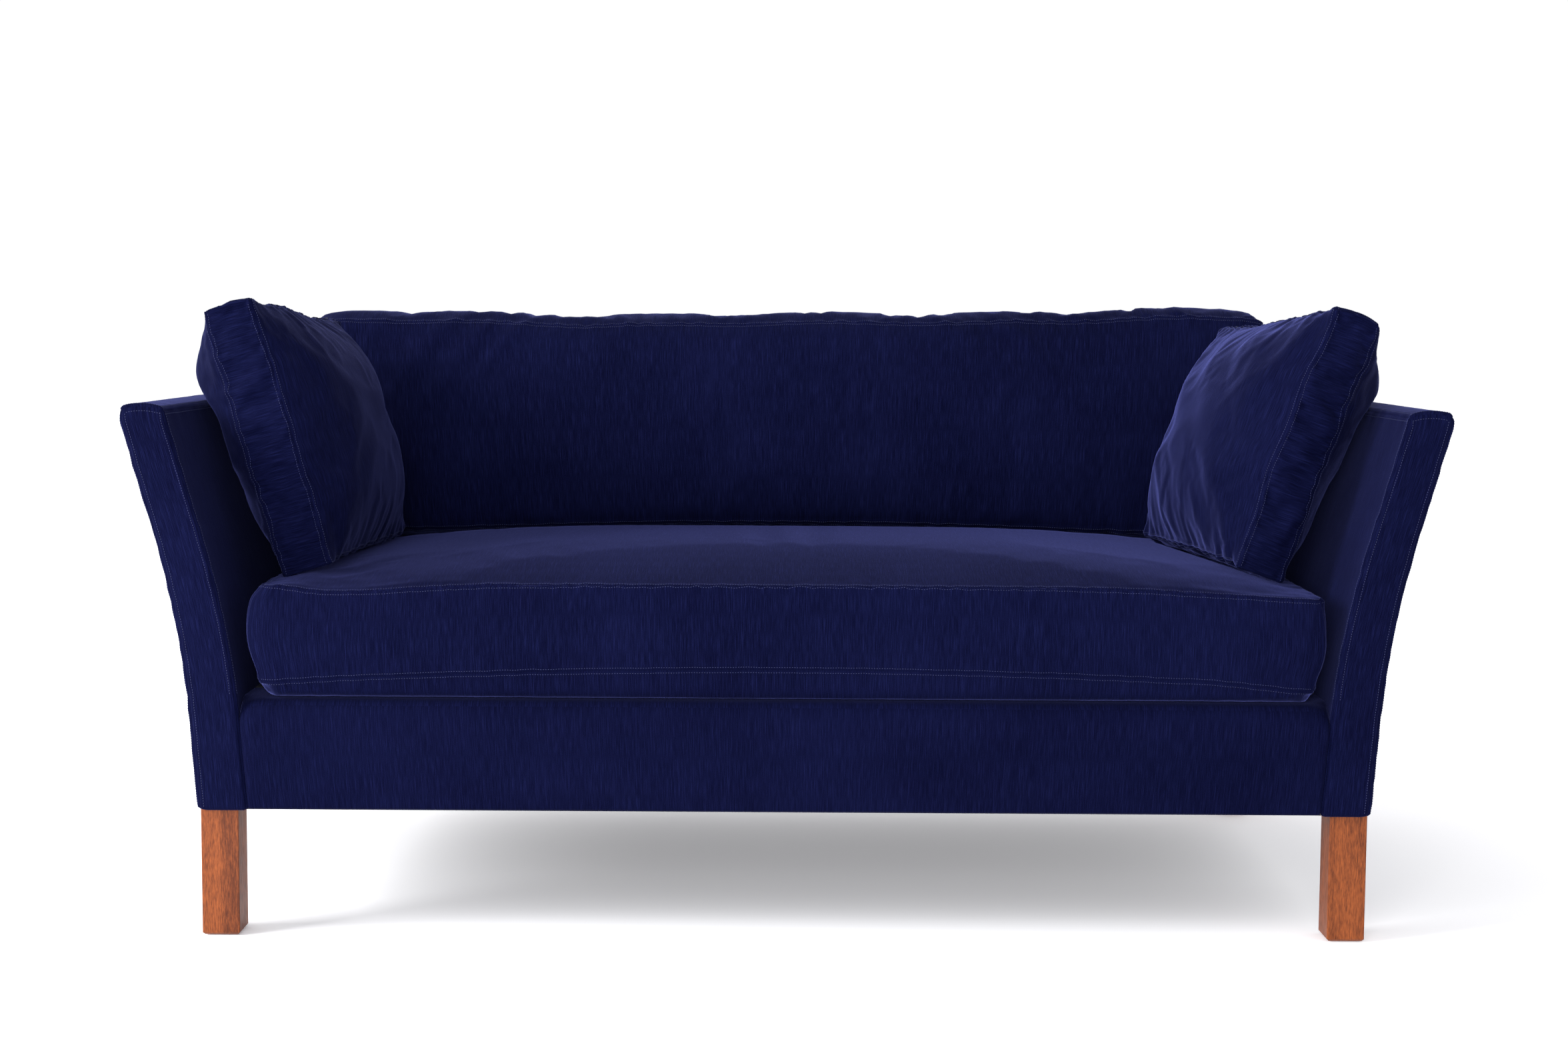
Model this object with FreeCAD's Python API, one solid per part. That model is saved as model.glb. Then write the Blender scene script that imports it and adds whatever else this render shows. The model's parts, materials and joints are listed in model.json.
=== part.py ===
"""Two-seat sofa with flared arms, loose cushions and square wooden legs.

Millimetres. +X is the sitter's right seen from the front, +Y runs from the front to the back, and +Z is up.
The origin is on the floor, under the middle of the sofa. Each function makes one group of sub-parts.
"""

import FreeCAD, Part
import math
import os

from FreeCAD import Vector

os.makedirs("parts", exist_ok=True)

# ---- Driving dimensions ----------------------------------------------------------------------------------------

HALF_DEPTH = 450.0           # the cushion's front and the outside back reach this far from the middle
FRONT_Y = -442.0             # face of the arms' front panels
BASE_Z = 171.0               # hem of the covers
FRAME_Z = 173.0              # underside of the wooden frame
DECK_Z = 320.0               # top of the platform that the seat cushion lies on
ARM_SEAM_Z = 702.0           # long seams of the arm's top
ARM_TOP_Z = 714.0            # crown of the arm's top
BACK_TOP_Z = 748.0           # crown of the back
CLOTH = 2.0                  # upholstery fabric with its lining

# Each side of an arm rises from the hem, bends outwards over a long arc and goes on straight.
ARM_OUTER_X = 780.0
ARM_INNER_X = 713.0
OUTER_SLOPES = (0.075, 0.28)
INNER_SLOPES = (0.085, 0.29)
BEND_Z = 420.0
BEND_TANGENT = 130.0

# Padding on the arm's frame
PAD_IN, PAD_OUT, PAD_TOP, PAD_FRONT = 12.0, 6.0, 12.0, 8.0
BOARD = 4.0                  # hardboard skins of the arm
BOARD_FOOT_Z = 300.0         # the inner skin stops above the seat rails
POST_DEPTH = 45.0
POST_FRONT_Y = FRONT_Y + CLOTH + PAD_FRONT
REAR_FRAME_Y = 420.0
ARM_RAIL_Z = (664.0, 688.0)  # underside and top of the arm's top rail

# Seat frame
RAIL = 28.0                  # thickness of the long rails
RAIL_TOP_Z = 282.0
SIDE_RAIL_TOP_Z = 273.0
DECK_PAD_TOP = DECK_Z - CLOTH

# Back: the inside leans further than the outside.
INSIDE_BACK_Y = 305.0        # at deck height
INSIDE_RAKE = 0.167          # run per unit of height
OUTSIDE_BACK_Y = 428.0       # at the hem
OUTSIDE_RAKE = (HALF_DEPTH - OUTSIDE_BACK_Y) / (BACK_TOP_Z - BASE_Z)
BACK_PAD = 14.0
WEBBING = 1.5

# Legs
LEG = 50.0
LEG_CENTRE_X = 752.0
FRONT_LEG_Y = FRONT_Y + 7 + LEG / 2
REAR_LEG_Y = OUTSIDE_BACK_Y - 4 - LEG / 2
GLIDE = 1.5
LEG_BOLT_R = 4.0

# Seat springs
WIRE_R = 1.9
SPRING_XS = [150.0 * i for i in range(-4, 5)]
SPRING_ENDS_Y = (-418.0, 406.0)
SPRING_RISE = 20.0
SPRING_RUNS = 28
SPRING_HALF_RUN = 12.0

# Cushions
COVER = 2.5                  # thickness of a cushion's cover
SEAT_BOTTOM_Z = DECK_Z + 1.5
SEAT_REAR_Y = 296.0
BACK_CUSHION_AT = Vector(0, 150, 499)
BACK_CUSHION_RAKE = 10.0
BACK_CUSHION_THICK = 175.0
BACK_CUSHION_HEIGHT = 350.0
SEAT_ZIP = 1300.0
BACK_ZIP = 700.0
SIDE_ZIP = 330.0
SIDE_BOXING = 68.0
SIDE_CROWN = 65.0
SIDE_KNEE = 42.0             # how far from a seam the crowned face has risen by half
SIDE_DEPTH = 450.0
SIDE_HEIGHT = 378.0
SIDE_CUSHIONS = {            # lean, turn in degrees, and the middle of the lowest front edge
    "left": (16.5, -4.0, Vector(-652, -332, 480)),
    "right": (-20.5, 8.0, Vector(646, -332, 482)),
}
SIDE_DENT = 1.5              # air between a side cushion and the dent that it makes in the seat cushion
ZIP_TAPE = (24.0, 0.8)
ZIP_CHAIN = (5.0, 2.0)

X, Y, Z = Vector(1, 0, 0), Vector(0, 1, 0), Vector(0, 0, 1)
ORIGIN = Vector(0, 0, 0)


# ---- Helpers ---------------------------------------------------------------------------------------------------

def save(name, *shapes):
    """Writes the solids of one node and prints their volume."""
    solids = [s for shape in shapes for s in shape.Solids]
    for s in solids:
        assert s.isValid() and s.Volume > 0, name
    Part.makeCompound(solids).exportStep(f"parts/{name}.step")
    print(f"{name:28s} {len(solids):3d} solids {sum(s.Volume for s in solids) / 1e6:9.4f} litres")


def mirrored(shape):
    return shape.mirror(ORIGIN, X)


def box(x0, x1, y0, y1, z0, z1):
    return Part.makeBox(x1 - x0, y1 - y0, z1 - z0, Vector(x0, y0, z0))


def line(a, b):
    return Part.LineSegment(a, b).toShape()


def arc(a, via, b):
    return Part.Arc(a, via, b).toShape()


def loop(path):
    """A face from a list of points in one plane. A tuple in the list is the point that an arc passes through."""
    edges = []
    last, via = path[0], None
    for step in path[1:] + [path[0]]:
        if isinstance(step, tuple):
            via = step[0]
            continue
        edges.append(line(last, step) if via is None else arc(last, via, step))
        last, via = step, None
    return Part.Face(Part.Wire(edges))


def extruded(points, at, way):
    """Extrudes a flat outline of pairs. An inner list holds the point that an arc passes through."""
    path = [(at(*p[0]),) if isinstance(p, list) else at(*p) for p in points]
    return loop(path).extrude(way)


def along_x(points, x0, x1):
    """Extrudes a (y, z) outline from x0 to x1."""
    return extruded(points, lambda y, z: Vector(x0, y, z), X * (x1 - x0))


def along_y(points, y0, y1):
    """Extrudes an (x, z) outline from y0 to y1."""
    return extruded(points, lambda x, z: Vector(x, y0, z), Y * (y1 - y0))


def along_z(points, z0, z1):
    """Extrudes an (x, y) outline from z0 to z1."""
    return extruded(points, lambda x, y: Vector(x, y, z0), Z * (z1 - z0))


def rod(r, start, end):
    return Part.makeCylinder(r, start.distanceToPoint(end), start, end - start)


def cut_all(shape, *tools):
    for tool in tools:
        shape = shape.cut(tool)
    return shape


# ---- The flare of the arms -------------------------------------------------------------------------------------

def flare(x_bottom, slopes, z0, z1):
    """(x, z) points of one side of the right arm, from z0 up to z1: straight, a tangent arc, and straight again."""
    low, high = slopes
    corner = Vector(x_bottom + low * (BEND_Z - BASE_Z), 0, BEND_Z)
    below = Vector(low, 0, 1).normalize()
    above = Vector(high, 0, 1).normalize()
    half_turn = (math.atan(high) - math.atan(low)) / 2
    inwards = (above - below).normalize() * (BEND_TANGENT * math.tan(half_turn / 2))
    start, middle, end = corner - below * BEND_TANGENT, corner + inwards, corner + above * BEND_TANGENT
    first = (start.x - low * (start.z - z0), z0)
    last = (end.x + high * (z1 - end.z), z1)
    if z0 > start.z:
        raise ValueError("an outline starts below the bend")
    return [first, (start.x, start.z), [(middle.x, middle.z)], (end.x, end.z), last]


def backwards(points):
    return points[::-1]


def mirrored_outline(points):
    """The same outline on the other side of x = 0, still in the order of its points."""
    return [[(-p[0][0], p[0][1])] if isinstance(p, list) else (-p[0], p[1]) for p in points]


def inner_side(inset, z0, z1):
    return flare(ARM_INNER_X + inset, INNER_SLOPES, z0, z1)


def outer_side(inset, z0, z1):
    return flare(ARM_OUTER_X - inset, OUTER_SLOPES, z0, z1)


def arm_slab(inset_in, inset_out, z0, z1, y0, y1):
    """A flat-topped length of the arm's section, from its inner side inwards and its outer side inwards."""
    outline = inner_side(inset_in, z0, z1) + backwards(outer_side(inset_out, z0, z1))
    return along_y(outline, y0, y1)


def arm_block(inset, z0, y0, y1):
    """The arm's whole section with its crowned top."""
    seam, crown = ARM_SEAM_Z - inset, ARM_TOP_Z - inset
    up, down = inner_side(inset, z0, seam), backwards(outer_side(inset, z0, seam))
    top = [((up[-1][0] + down[0][0]) / 2, crown)]
    return along_y(up + [top] + down, y0, y1)


def skin(side, inset, z0, z1, y0, y1):
    """A board that follows one side of the arm."""
    return along_y(side(inset, z0, z1) + backwards(side(inset + BOARD, z0, z1)), y0, y1)


def outside_back_y(z, inset=0.0):
    return OUTSIDE_BACK_Y + OUTSIDE_RAKE * (z - BASE_Z) - inset


def inside_back_y(z, inset=0.0):
    return INSIDE_BACK_Y + INSIDE_RAKE * (z - DECK_Z) + inset


def behind_outside_back(inset):
    """Everything behind the outside back's plane, moved forwards by the inset."""
    low, high, far = 100.0, 900.0, 600.0
    return along_x([(outside_back_y(low, inset), low), (far, low), (far, high), (outside_back_y(high, inset), high)],
                   -1000, 1000)


ARM_ENVELOPE = arm_block(0, BASE_Z - 20, FRONT_Y, HALF_DEPTH + 20)
ARM_ENVELOPES = (ARM_ENVELOPE, mirrored(ARM_ENVELOPE))


# ---- Legs ------------------------------------------------------------------------------------------------------

def leg(x, y):
    """A square leg with eased long edges, a chamfered foot and the blind hole of its bolt."""
    ease, foot, half = 1.5, 3.0, LEG / 2
    body = box(x - half, x + half, y - half, y + half, GLIDE, FRAME_Z)
    body = body.makeFillet(ease, [e for e in body.Edges if e.BoundBox.ZLength > 1])

    def chamfered(middle):
        return [(middle - half + foot, GLIDE), (middle - half, GLIDE + foot), (middle - half, FRAME_Z),
                (middle + half, FRAME_Z), (middle + half, GLIDE + foot), (middle + half - foot, GLIDE)]

    body = body.common(along_y(chamfered(x), y - LEG, y + LEG)).common(along_x(chamfered(y), x - LEG, x + LEG))
    return body.cut(rod(LEG_BOLT_R, Vector(x, y, 130), Vector(x, y, FRAME_Z + 1)))


def legs():
    places = {
        "front_left_leg": (-LEG_CENTRE_X, FRONT_LEG_Y),
        "front_right_leg": (LEG_CENTRE_X, FRONT_LEG_Y),
        "rear_left_leg": (-LEG_CENTRE_X, REAR_LEG_Y),
        "rear_right_leg": (LEG_CENTRE_X, REAR_LEG_Y),
    }
    insert_r, insert_top, bolt_top = 6.5, 200.0, 215.0
    bolts, inserts, glides = [], [], []
    for name, (x, y) in places.items():
        save(name, leg(x, y))
        bolt = rod(LEG_BOLT_R, Vector(x, y, 130), Vector(x, y, bolt_top))
        insert = rod(insert_r, Vector(x, y, FRAME_Z), Vector(x, y, insert_top))
        bolts.append(bolt)
        inserts.append(insert.cut(bolt))
        glide = rod(16, Vector(x, y, 0), Vector(x, y, GLIDE))
        glides.append(glide.makeChamfer(0.5, [e for e in glide.Edges if e.BoundBox.ZMax < 0.1]))
    save("leg_bolts", *bolts)
    save("leg_inserts", *inserts)
    save("leg_glides", *glides)
    return bolts + [rod(insert_r, Vector(x, y, FRAME_Z), Vector(x, y, insert_top)) for x, y in places.values()]


# ---- Frame -----------------------------------------------------------------------------------------------------

def arm_posts():
    """Front and rear posts of the right arm."""
    inset_in, inset_out = CLOTH + PAD_IN + BOARD, CLOTH + PAD_OUT + BOARD
    front = arm_slab(inset_in, inset_out, FRAME_Z, ARM_RAIL_Z[0], POST_FRONT_Y, POST_FRONT_Y + POST_DEPTH)
    rear = arm_slab(inset_in, inset_out, FRAME_Z, ARM_RAIL_Z[0], REAR_FRAME_Y - POST_DEPTH, REAR_FRAME_Y)
    return front, rear


def side_rail():
    """Lower rail of the right arm, between its posts. Its top is below the arm's bend."""
    inset_in, inset_out = CLOTH + PAD_IN + BOARD, CLOTH + PAD_OUT + BOARD
    lift = SIDE_RAIL_TOP_Z - FRAME_Z
    low_in, low_out = ARM_INNER_X + inset_in, ARM_OUTER_X - inset_out
    drop = FRAME_Z - BASE_Z
    inner = low_in + INNER_SLOPES[0] * drop
    outer = low_out + OUTER_SLOPES[0] * drop
    outline = [(inner, FRAME_Z), (inner + INNER_SLOPES[0] * lift, SIDE_RAIL_TOP_Z),
               (outer + OUTER_SLOPES[0] * lift, SIDE_RAIL_TOP_Z), (outer, FRAME_Z)]
    return along_y(outline, POST_FRONT_Y + POST_DEPTH, REAR_FRAME_Y - POST_DEPTH)


BACK_POST_X = (683.0, 711.0)


def back_front_line(z):
    """y of the back frame's front face, behind the cover, padding and webbing."""
    return inside_back_y(z, CLOTH + BACK_PAD + WEBBING)


def back_post():
    """Right back post: a board that narrows upwards, from the seat frame's underside to the top rail."""
    x0, x1 = BACK_POST_X
    top = 694.0
    foot_y = 350.0
    outline = [(foot_y, FRAME_Z), (foot_y, DECK_Z + 8), (back_front_line(top), top), (REAR_FRAME_Y, top),
               (REAR_FRAME_Y, FRAME_Z)]
    return along_x(outline, x0, x1)


def raked_rail(z0, z1, x0, x1, thickness=RAIL):
    """A rail in the back's plane: its front face lies on the back frame's front line."""
    y0, y1 = back_front_line(z0), back_front_line(z1)
    return along_x([(y0, z0), (y1, z1), (y1 + thickness, z1), (y0 + thickness, z0)], x0, x1)


def frame_bolts_and_dowels(posts):
    """Bolts that hold the arms to the back posts, and dowels in the front rail's ends, all on the right side."""
    bolts, dowels = [], []
    for z in (235.0, 420.0):
        start, end = Vector(BACK_POST_X[0] - 4, 398, z), Vector(770 if z < 300 else 778, 398, z)
        head = rod(9, start, start + Vector(4, 0, 0))
        bolts.append(head.fuse(rod(4, start, end)).removeSplitter())
    for z in (226.0, 264.0):
        dowels.append(rod(5, Vector(705, -418, z), Vector(765, -418, z)))
    return bolts, dowels


def corner_blocks():
    """Triangular glue blocks in the seat frame's front and rear corners, right side, with two screws each."""
    reach = 86.0
    inner_x = ARM_INNER_X + CLOTH + PAD_IN + BOARD
    front_y = POST_FRONT_Y + RAIL
    rear_y = REAR_FRAME_Y - RAIL
    z0, z1 = 185.0, 262.0
    front = along_z([(inner_x, front_y), (inner_x - reach, front_y), (inner_x, front_y + reach)], z0, z1)
    x_post = BACK_POST_X[0]
    foot_y = 350.0
    rear = along_z([(x_post, rear_y), (x_post - reach, rear_y), (x_post, foot_y)], z0, z1)
    blocks = [front, rear]
    screws = []
    for (x, y), (dx, dy), length in (
        ((inner_x - 34, front_y + 50), (0, -1), 60.0),
        ((inner_x - 52, front_y + 30), (1, 0), 70.0),
        ((x_post - 40, rear_y - 22), (0, 1), 36.0),
        ((x_post - 22, rear_y - 30), (1, 0), 40.0),
    ):
        z = (z0 + z1) / 2 + (12 if dx else -12)
        start = Vector(x, y, z)
        way = Vector(dx, dy, 0)
        screw = rod(2.2, start, start + way * length)
        head = Part.makeCone(4.2, 2.2, 3, start, way)
        screws.append(head.fuse(screw).removeSplitter())
    return blocks, screws


def make_frame(leg_tools):
    """Every wooden piece, its screws, bolts and dowels. Returns the shapes that the padding has to leave free."""
    front_post, rear_post = arm_posts()
    posts = [front_post, rear_post]
    bolts, dowels = frame_bolts_and_dowels(posts)
    blocks, screws = corner_blocks()
    all_screws = screws + [mirrored(s) for s in screws]
    all_bolts = bolts + [mirrored(b) for b in bolts]
    all_dowels = dowels + [mirrored(d) for d in dowels]
    metal = all_screws + all_bolts + all_dowels + leg_tools

    both_posts = posts + [mirrored(p) for p in posts]
    front_rail = box(-750, 750, POST_FRONT_Y, POST_FRONT_Y + RAIL, FRAME_Z, RAIL_TOP_Z)
    front_rail = cut_all(front_rail, *both_posts, *metal)
    rear_rail = box(-BACK_POST_X[0], BACK_POST_X[0], REAR_FRAME_Y - RAIL, REAR_FRAME_Y, FRAME_Z, RAIL_TOP_Z)
    stretcher = box(-22, 22, POST_FRONT_Y + RAIL, REAR_FRAME_Y - RAIL, 200, 262)
    rail = side_rail()
    post = back_post()

    save("front_seat_rail", front_rail)
    save("rear_seat_rail", cut_all(rear_rail, *metal))
    save("centre_stretcher", stretcher)
    save("side_seat_rails", cut_all(rail, *metal), cut_all(mirrored(rail), *metal))
    fitted = [cut_all(b, rail, post, *posts, *metal) for b in blocks]
    save("corner_blocks", *fitted, *[mirrored(b) for b in fitted])
    save("corner_block_screws", *all_screws)
    save("arm_bolts", *all_bolts)
    save("frame_dowels", *all_dowels)

    top_rail = arm_slab(CLOTH + PAD_IN, CLOTH + PAD_OUT, FRAME_Z, ARM_RAIL_Z[1], POST_FRONT_Y, REAR_FRAME_Y)
    top_rail = top_rail.common(box(700, 900, -500, 500, ARM_RAIL_Z[0], 900))
    rail_z = ARM_RAIL_Z[0]
    inner_board = skin(inner_side, CLOTH + PAD_IN, FRAME_Z, rail_z, POST_FRONT_Y, REAR_FRAME_Y)
    inner_board = inner_board.common(box(700, 900, -500, 500, BOARD_FOOT_Z, rail_z))
    outer_board = skin(outer_side, CLOTH + PAD_OUT, FRAME_Z, rail_z, POST_FRONT_Y, REAR_FRAME_Y)
    boards = [cut_all(b, *metal) for b in (inner_board, outer_board)]
    for side, place in (("left", mirrored), ("right", lambda s: s)):
        save(f"{side}_arm_posts", *[place(cut_all(p, *metal)) for p in posts])
        save(f"{side}_arm_top_rail", place(top_rail))
        save(f"{side}_arm_boards", *[place(b) for b in boards])

    back_rail_half = BACK_POST_X[1] + 84
    lower = raked_rail(334, 384, -BACK_POST_X[0], BACK_POST_X[0])
    upper = raked_rail(694, 732, -back_rail_half, back_rail_half)
    save("back_posts", cut_all(post, *metal), mirrored(cut_all(post, *metal)))
    save("back_lower_rail", cut_all(lower, *metal))
    save("back_top_rail", upper)
    save("back_centre_upright", raked_rail(384, 694, -24, 24))
    return metal, [front_rail, rear_rail, rail, mirrored(rail), post, mirrored(post), lower, upper]


# ---- Springs and webbing ---------------------------------------------------------------------------------------

def spring_z(y):
    middle = sum(SPRING_ENDS_Y) / 2
    half = (SPRING_ENDS_Y[1] - SPRING_ENDS_Y[0]) / 2
    return RAIL_TOP_Z + 3.2 + SPRING_RISE * (1 - ((y - middle) / half) ** 2)


def zigzag_spring(x):
    """A serpentine spring: straight runs across, joined by half circles, on a gentle arch from front to back."""
    y0, y1 = SPRING_ENDS_Y
    ys = [y0 + (y1 - y0) * i / (SPRING_RUNS - 1) for i in range(SPRING_RUNS)]
    edges = []
    for i, y in enumerate(ys):
        way = 1 if i % 2 == 0 else -1
        start = Vector(x - way * SPRING_HALF_RUN, y, spring_z(y))
        end = Vector(x + way * SPRING_HALF_RUN, y, spring_z(y))
        edges.append(line(start, end))
        if i + 1 < len(ys):
            after = Vector(end.x, ys[i + 1], spring_z(ys[i + 1]))
            reach = end.distanceToPoint(after) / 2
            via = (end + after) / 2 + Vector(way * reach, 0, 0)
            edges.append(arc(end, via, after))
    path = Part.Wire(edges)
    start = Vector(x - SPRING_HALF_RUN, y0, spring_z(y0))
    ring = Part.Wire(Part.makeCircle(WIRE_R, start, X))
    return path.makePipeShell([ring], True, False)


def spring_clip(x, y, way):
    """A nailed clip that curls round the end run of a spring. way points to the rail's outer edge."""
    half, inner, outer = 7.0, WIRE_R + 0.25, WIRE_R + 1.25
    z = spring_z(y)
    ring = rod(outer, Vector(x - half, y, z), Vector(x + half, y, z))
    ring = ring.cut(rod(inner, Vector(x - half, y, z), Vector(x + half, y, z)))
    mouth = box(x - half, x + half, min(y, y - way * 5), max(y, y - way * 5), z - 1.0, z + 1.6)
    tail = box(x - half, x + half, min(y + way * 1.5, y + way * 9), max(y + way * 1.5, y + way * 9),
               RAIL_TOP_Z, RAIL_TOP_Z + 1.0)
    tail = tail.cut(rod(inner, Vector(x - half, y, z), Vector(x + half, y, z)))
    return ring.cut(mouth).fuse(tail).removeSplitter()


def make_springs():
    save("seat_springs", *[zigzag_spring(x) for x in SPRING_XS])
    clips = [spring_clip(x, y, way) for x in SPRING_XS for y, way in zip(SPRING_ENDS_Y, (-1, 1))]
    save("spring_clips", *clips)
    ties = []
    for y in (-135.0, 122.0):
        z = spring_z(y) - WIRE_R - 3.6
        ties.append(rod(1.6, Vector(-650, y, z), Vector(650, y, z)))
    save("spring_tie_wires", *ties)


def make_webbing():
    """Elastic straps on the back frame's front face, from the lower rail to the top rail."""
    half, count = 25.0, 8
    z0, z1 = 340.0, 728.0
    straps = []
    for i in range(count):
        x = (i - (count - 1) / 2) * 170
        y0, y1 = back_front_line(z0), back_front_line(z1)
        straps.append(along_x([(y0 - WEBBING, z0), (y1 - WEBBING, z1), (y1, z1), (y0, z0)], x - half, x + half))
    save("back_webbing", *straps)
    return straps


# ---- Padding and covers ----------------------------------------------------------------------------------------

def make_arms(metal, frame):
    """Padding, sleeve cover and front panel of both arms."""
    frame_hull = arm_slab(CLOTH + PAD_IN, CLOTH + PAD_OUT, FRAME_Z - 5, ARM_RAIL_Z[1], POST_FRONT_Y, HALF_DEPTH + 20)
    below_deck = box(700, 745, POST_FRONT_Y, HALF_DEPTH, BASE_Z - 10, 300)
    rear = behind_outside_back(CLOTH)
    whole = arm_block(0, BASE_Z, FRONT_Y + CLOTH, HALF_DEPTH + 10)
    inside = arm_block(CLOTH, BASE_Z - 5, FRONT_Y + CLOTH, HALF_DEPTH + 10)
    padding = arm_block(CLOTH, FRAME_Z, FRONT_Y + CLOTH, HALF_DEPTH + 10)
    cover = cut_all(whole, inside, rear, below_deck, *metal)
    padding = cut_all(padding, frame_hull, rear, below_deck, *metal, *frame)
    panel = arm_block(0, BASE_Z, FRONT_Y, FRONT_Y + CLOTH)
    for side, place in (("left", mirrored), ("right", lambda s: s)):
        save(f"{side}_arm_cover", place(cover))
        save(f"{side}_arm_padding", place(padding))
        save(f"{side}_arm_front_panel", place(panel))


def make_border():
    """Padding and cover of the front border, rounded over the front rail."""
    radius = 24.0
    y, top = FRONT_Y - 1, DECK_Z

    def outline(inset, bottom, back):
        r = radius - inset
        front, up = y + inset, top - inset
        bend = r * (1 - math.sqrt(0.5))
        return [(front, bottom), (front, up - r), [(front + bend, up - bend)], (front + r, up), (back, up)]

    cover_back = -330.0
    cover = along_x(outline(0, BASE_Z, cover_back) + [(cover_back, top - CLOTH)]
                    + backwards(outline(CLOTH, BASE_Z, cover_back))[1:], -735, 735)
    pad_back, over_wire = -372.0, 294.0
    rail_front, clip_front = POST_FRONT_Y, POST_FRONT_Y + 4
    padding = along_x(outline(CLOTH, FRAME_Z, pad_back) + [(pad_back, over_wire), (clip_front, over_wire),
                      (clip_front, RAIL_TOP_Z), (rail_front, RAIL_TOP_Z), (rail_front, FRAME_Z)], -735, 735)
    save("front_border_cover", cut_all(cover, *ARM_ENVELOPES))
    save("front_border_padding", cut_all(padding, *ARM_ENVELOPES))


def make_deck(metal, frame):
    """The pad on the springs and the platform cloth."""
    y0, y1 = -372.0, INSIDE_BACK_Y + 10
    middle = sum(SPRING_ENDS_Y) / 2
    over = WIRE_R + 1.6
    pad = along_x([(y0, spring_z(y0) + over), (y0, DECK_PAD_TOP), (y1, DECK_PAD_TOP), (y1, spring_z(y1) + over),
                   [(middle, spring_z(middle) + over)]], -735, 735)
    cloth = box(-735, 735, -330, INSIDE_BACK_Y - 1, DECK_PAD_TOP, DECK_Z)
    save("deck_pad", cut_all(pad, *ARM_ENVELOPES, *metal, *frame))
    save("platform_cloth", cut_all(cloth, *ARM_ENVELOPES))


def back_outline(inset, z0):
    """(x, z) outline of the back between the arms, flared like them, with rounded top corners."""
    radius = 40.0 - inset
    shoulder = BACK_TOP_Z - inset - radius
    side = inner_side(-inset, z0, shoulder)
    x_top = side[-1][0]
    bend = radius * (1 - math.sqrt(0.5))
    x_in = x_top - radius
    right = side + [[(x_top - bend, BACK_TOP_Z - inset - bend)], (x_in, BACK_TOP_Z - inset)]
    left = []
    for p in backwards(right):
        left.append([(-p[0][0], p[0][1])] if isinstance(p, list) else (-p[0], p[1]))
    return right + left


def between_planes(inset_front, inset_rear, z0, z1):
    """The wedge between the inside back's plane and the outside back's plane."""
    return along_x([(inside_back_y(z0, inset_front), z0), (inside_back_y(z1, inset_front), z1),
                    (outside_back_y(z1, inset_rear), z1), (outside_back_y(z0, inset_rear), z0)], -900, 900)


def make_back(metal, frame, straps):
    """Inside back cover with its padding, and the outside back sheet."""
    z0 = DECK_Z - CLOTH
    y0, y1 = 250.0, HALF_DEPTH + 20
    body = along_y(back_outline(0, BASE_Z), y0, y1).common(between_planes(0, CLOTH, z0, 900))
    hollow = along_y(back_outline(CLOTH, BASE_Z), y0, y1).common(between_planes(CLOTH, CLOTH - 5, z0 - 5, 900))
    cover = cut_all(body, hollow, *ARM_ENVELOPES, *metal)
    padding = along_y(back_outline(CLOTH, BASE_Z), y0, y1)
    padding = padding.common(between_planes(CLOTH, CLOTH + 1, DECK_Z, 900))
    padding = cut_all(padding, between_planes(CLOTH + BACK_PAD, -30, 100, 732), *ARM_ENVELOPES, *straps, *frame)
    save("inside_back_cover", cover)
    save("back_padding", padding)

    sheet_z0 = BASE_Z
    sheet = along_y(back_outline(0, sheet_z0), y0, y1)
    arms = arm_block(0, sheet_z0, y0, y1)
    sheet = sheet.fuse(arms).fuse(mirrored(arms)).removeSplitter()
    low, high = 100.0, 900.0
    layer = along_x([(outside_back_y(low, CLOTH), low), (outside_back_y(low), low), (outside_back_y(high), high),
                     (outside_back_y(high, CLOTH), high)], -1000, 1000)
    save("outside_back_cover", sheet.common(layer))


def make_dust_cover():
    """The thin black cloth under the frame, cut out round the legs."""
    half_width, gap, beyond = 766.0, 1.0, 20.0
    sheet = box(-half_width, half_width, POST_FRONT_Y, REAR_FRAME_Y, BASE_Z + 0.5, FRAME_Z)
    reach = LEG / 2 + beyond
    for y in (FRONT_LEG_Y, REAR_LEG_Y):
        notch = box(LEG_CENTRE_X - LEG / 2 - gap, LEG_CENTRE_X + reach, y - reach, y + reach, BASE_Z, FRAME_Z)
        sheet = cut_all(sheet, notch, mirrored(notch))
    save("dust_cover", sheet)


# ---- Zips ------------------------------------------------------------------------------------------------------

def zip_parts(length, end_margin):
    """A zip along +X that faces +Z, and its slider at the near end."""
    width, thick = ZIP_TAPE
    tape = box(0, length, -width / 2, width / 2, 0, thick)
    chain_w, chain_h = ZIP_CHAIN
    chain = box(end_margin, length - end_margin, -chain_w / 2, chain_w / 2, thick, thick + chain_h)
    gap, wall = 0.4, 2.0
    x0 = end_margin + 4
    x1 = x0 + 14
    under, over = thick + gap, thick + chain_h + gap
    body = box(x0, x1, -chain_w / 2 - gap - wall, chain_w / 2 + gap + wall, under, over + 1.4)
    body = body.cut(box(x0 - 1, x1 + 1, -chain_w / 2 - gap, chain_w / 2 + gap, under - 1, over))
    pull = box(x0 + 2, x0 + 32, -3.2, 3.2, over + 1.4, over + 2.6)
    hole = rod(1.7, Vector(x0 + 27, 0, over), Vector(x0 + 27, 0, over + 5))
    return tape.fuse(chain).removeSplitter(), body.fuse(pull).removeSplitter().cut(hole)


# ---- Cushions --------------------------------------------------------------------------------------------------

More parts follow.
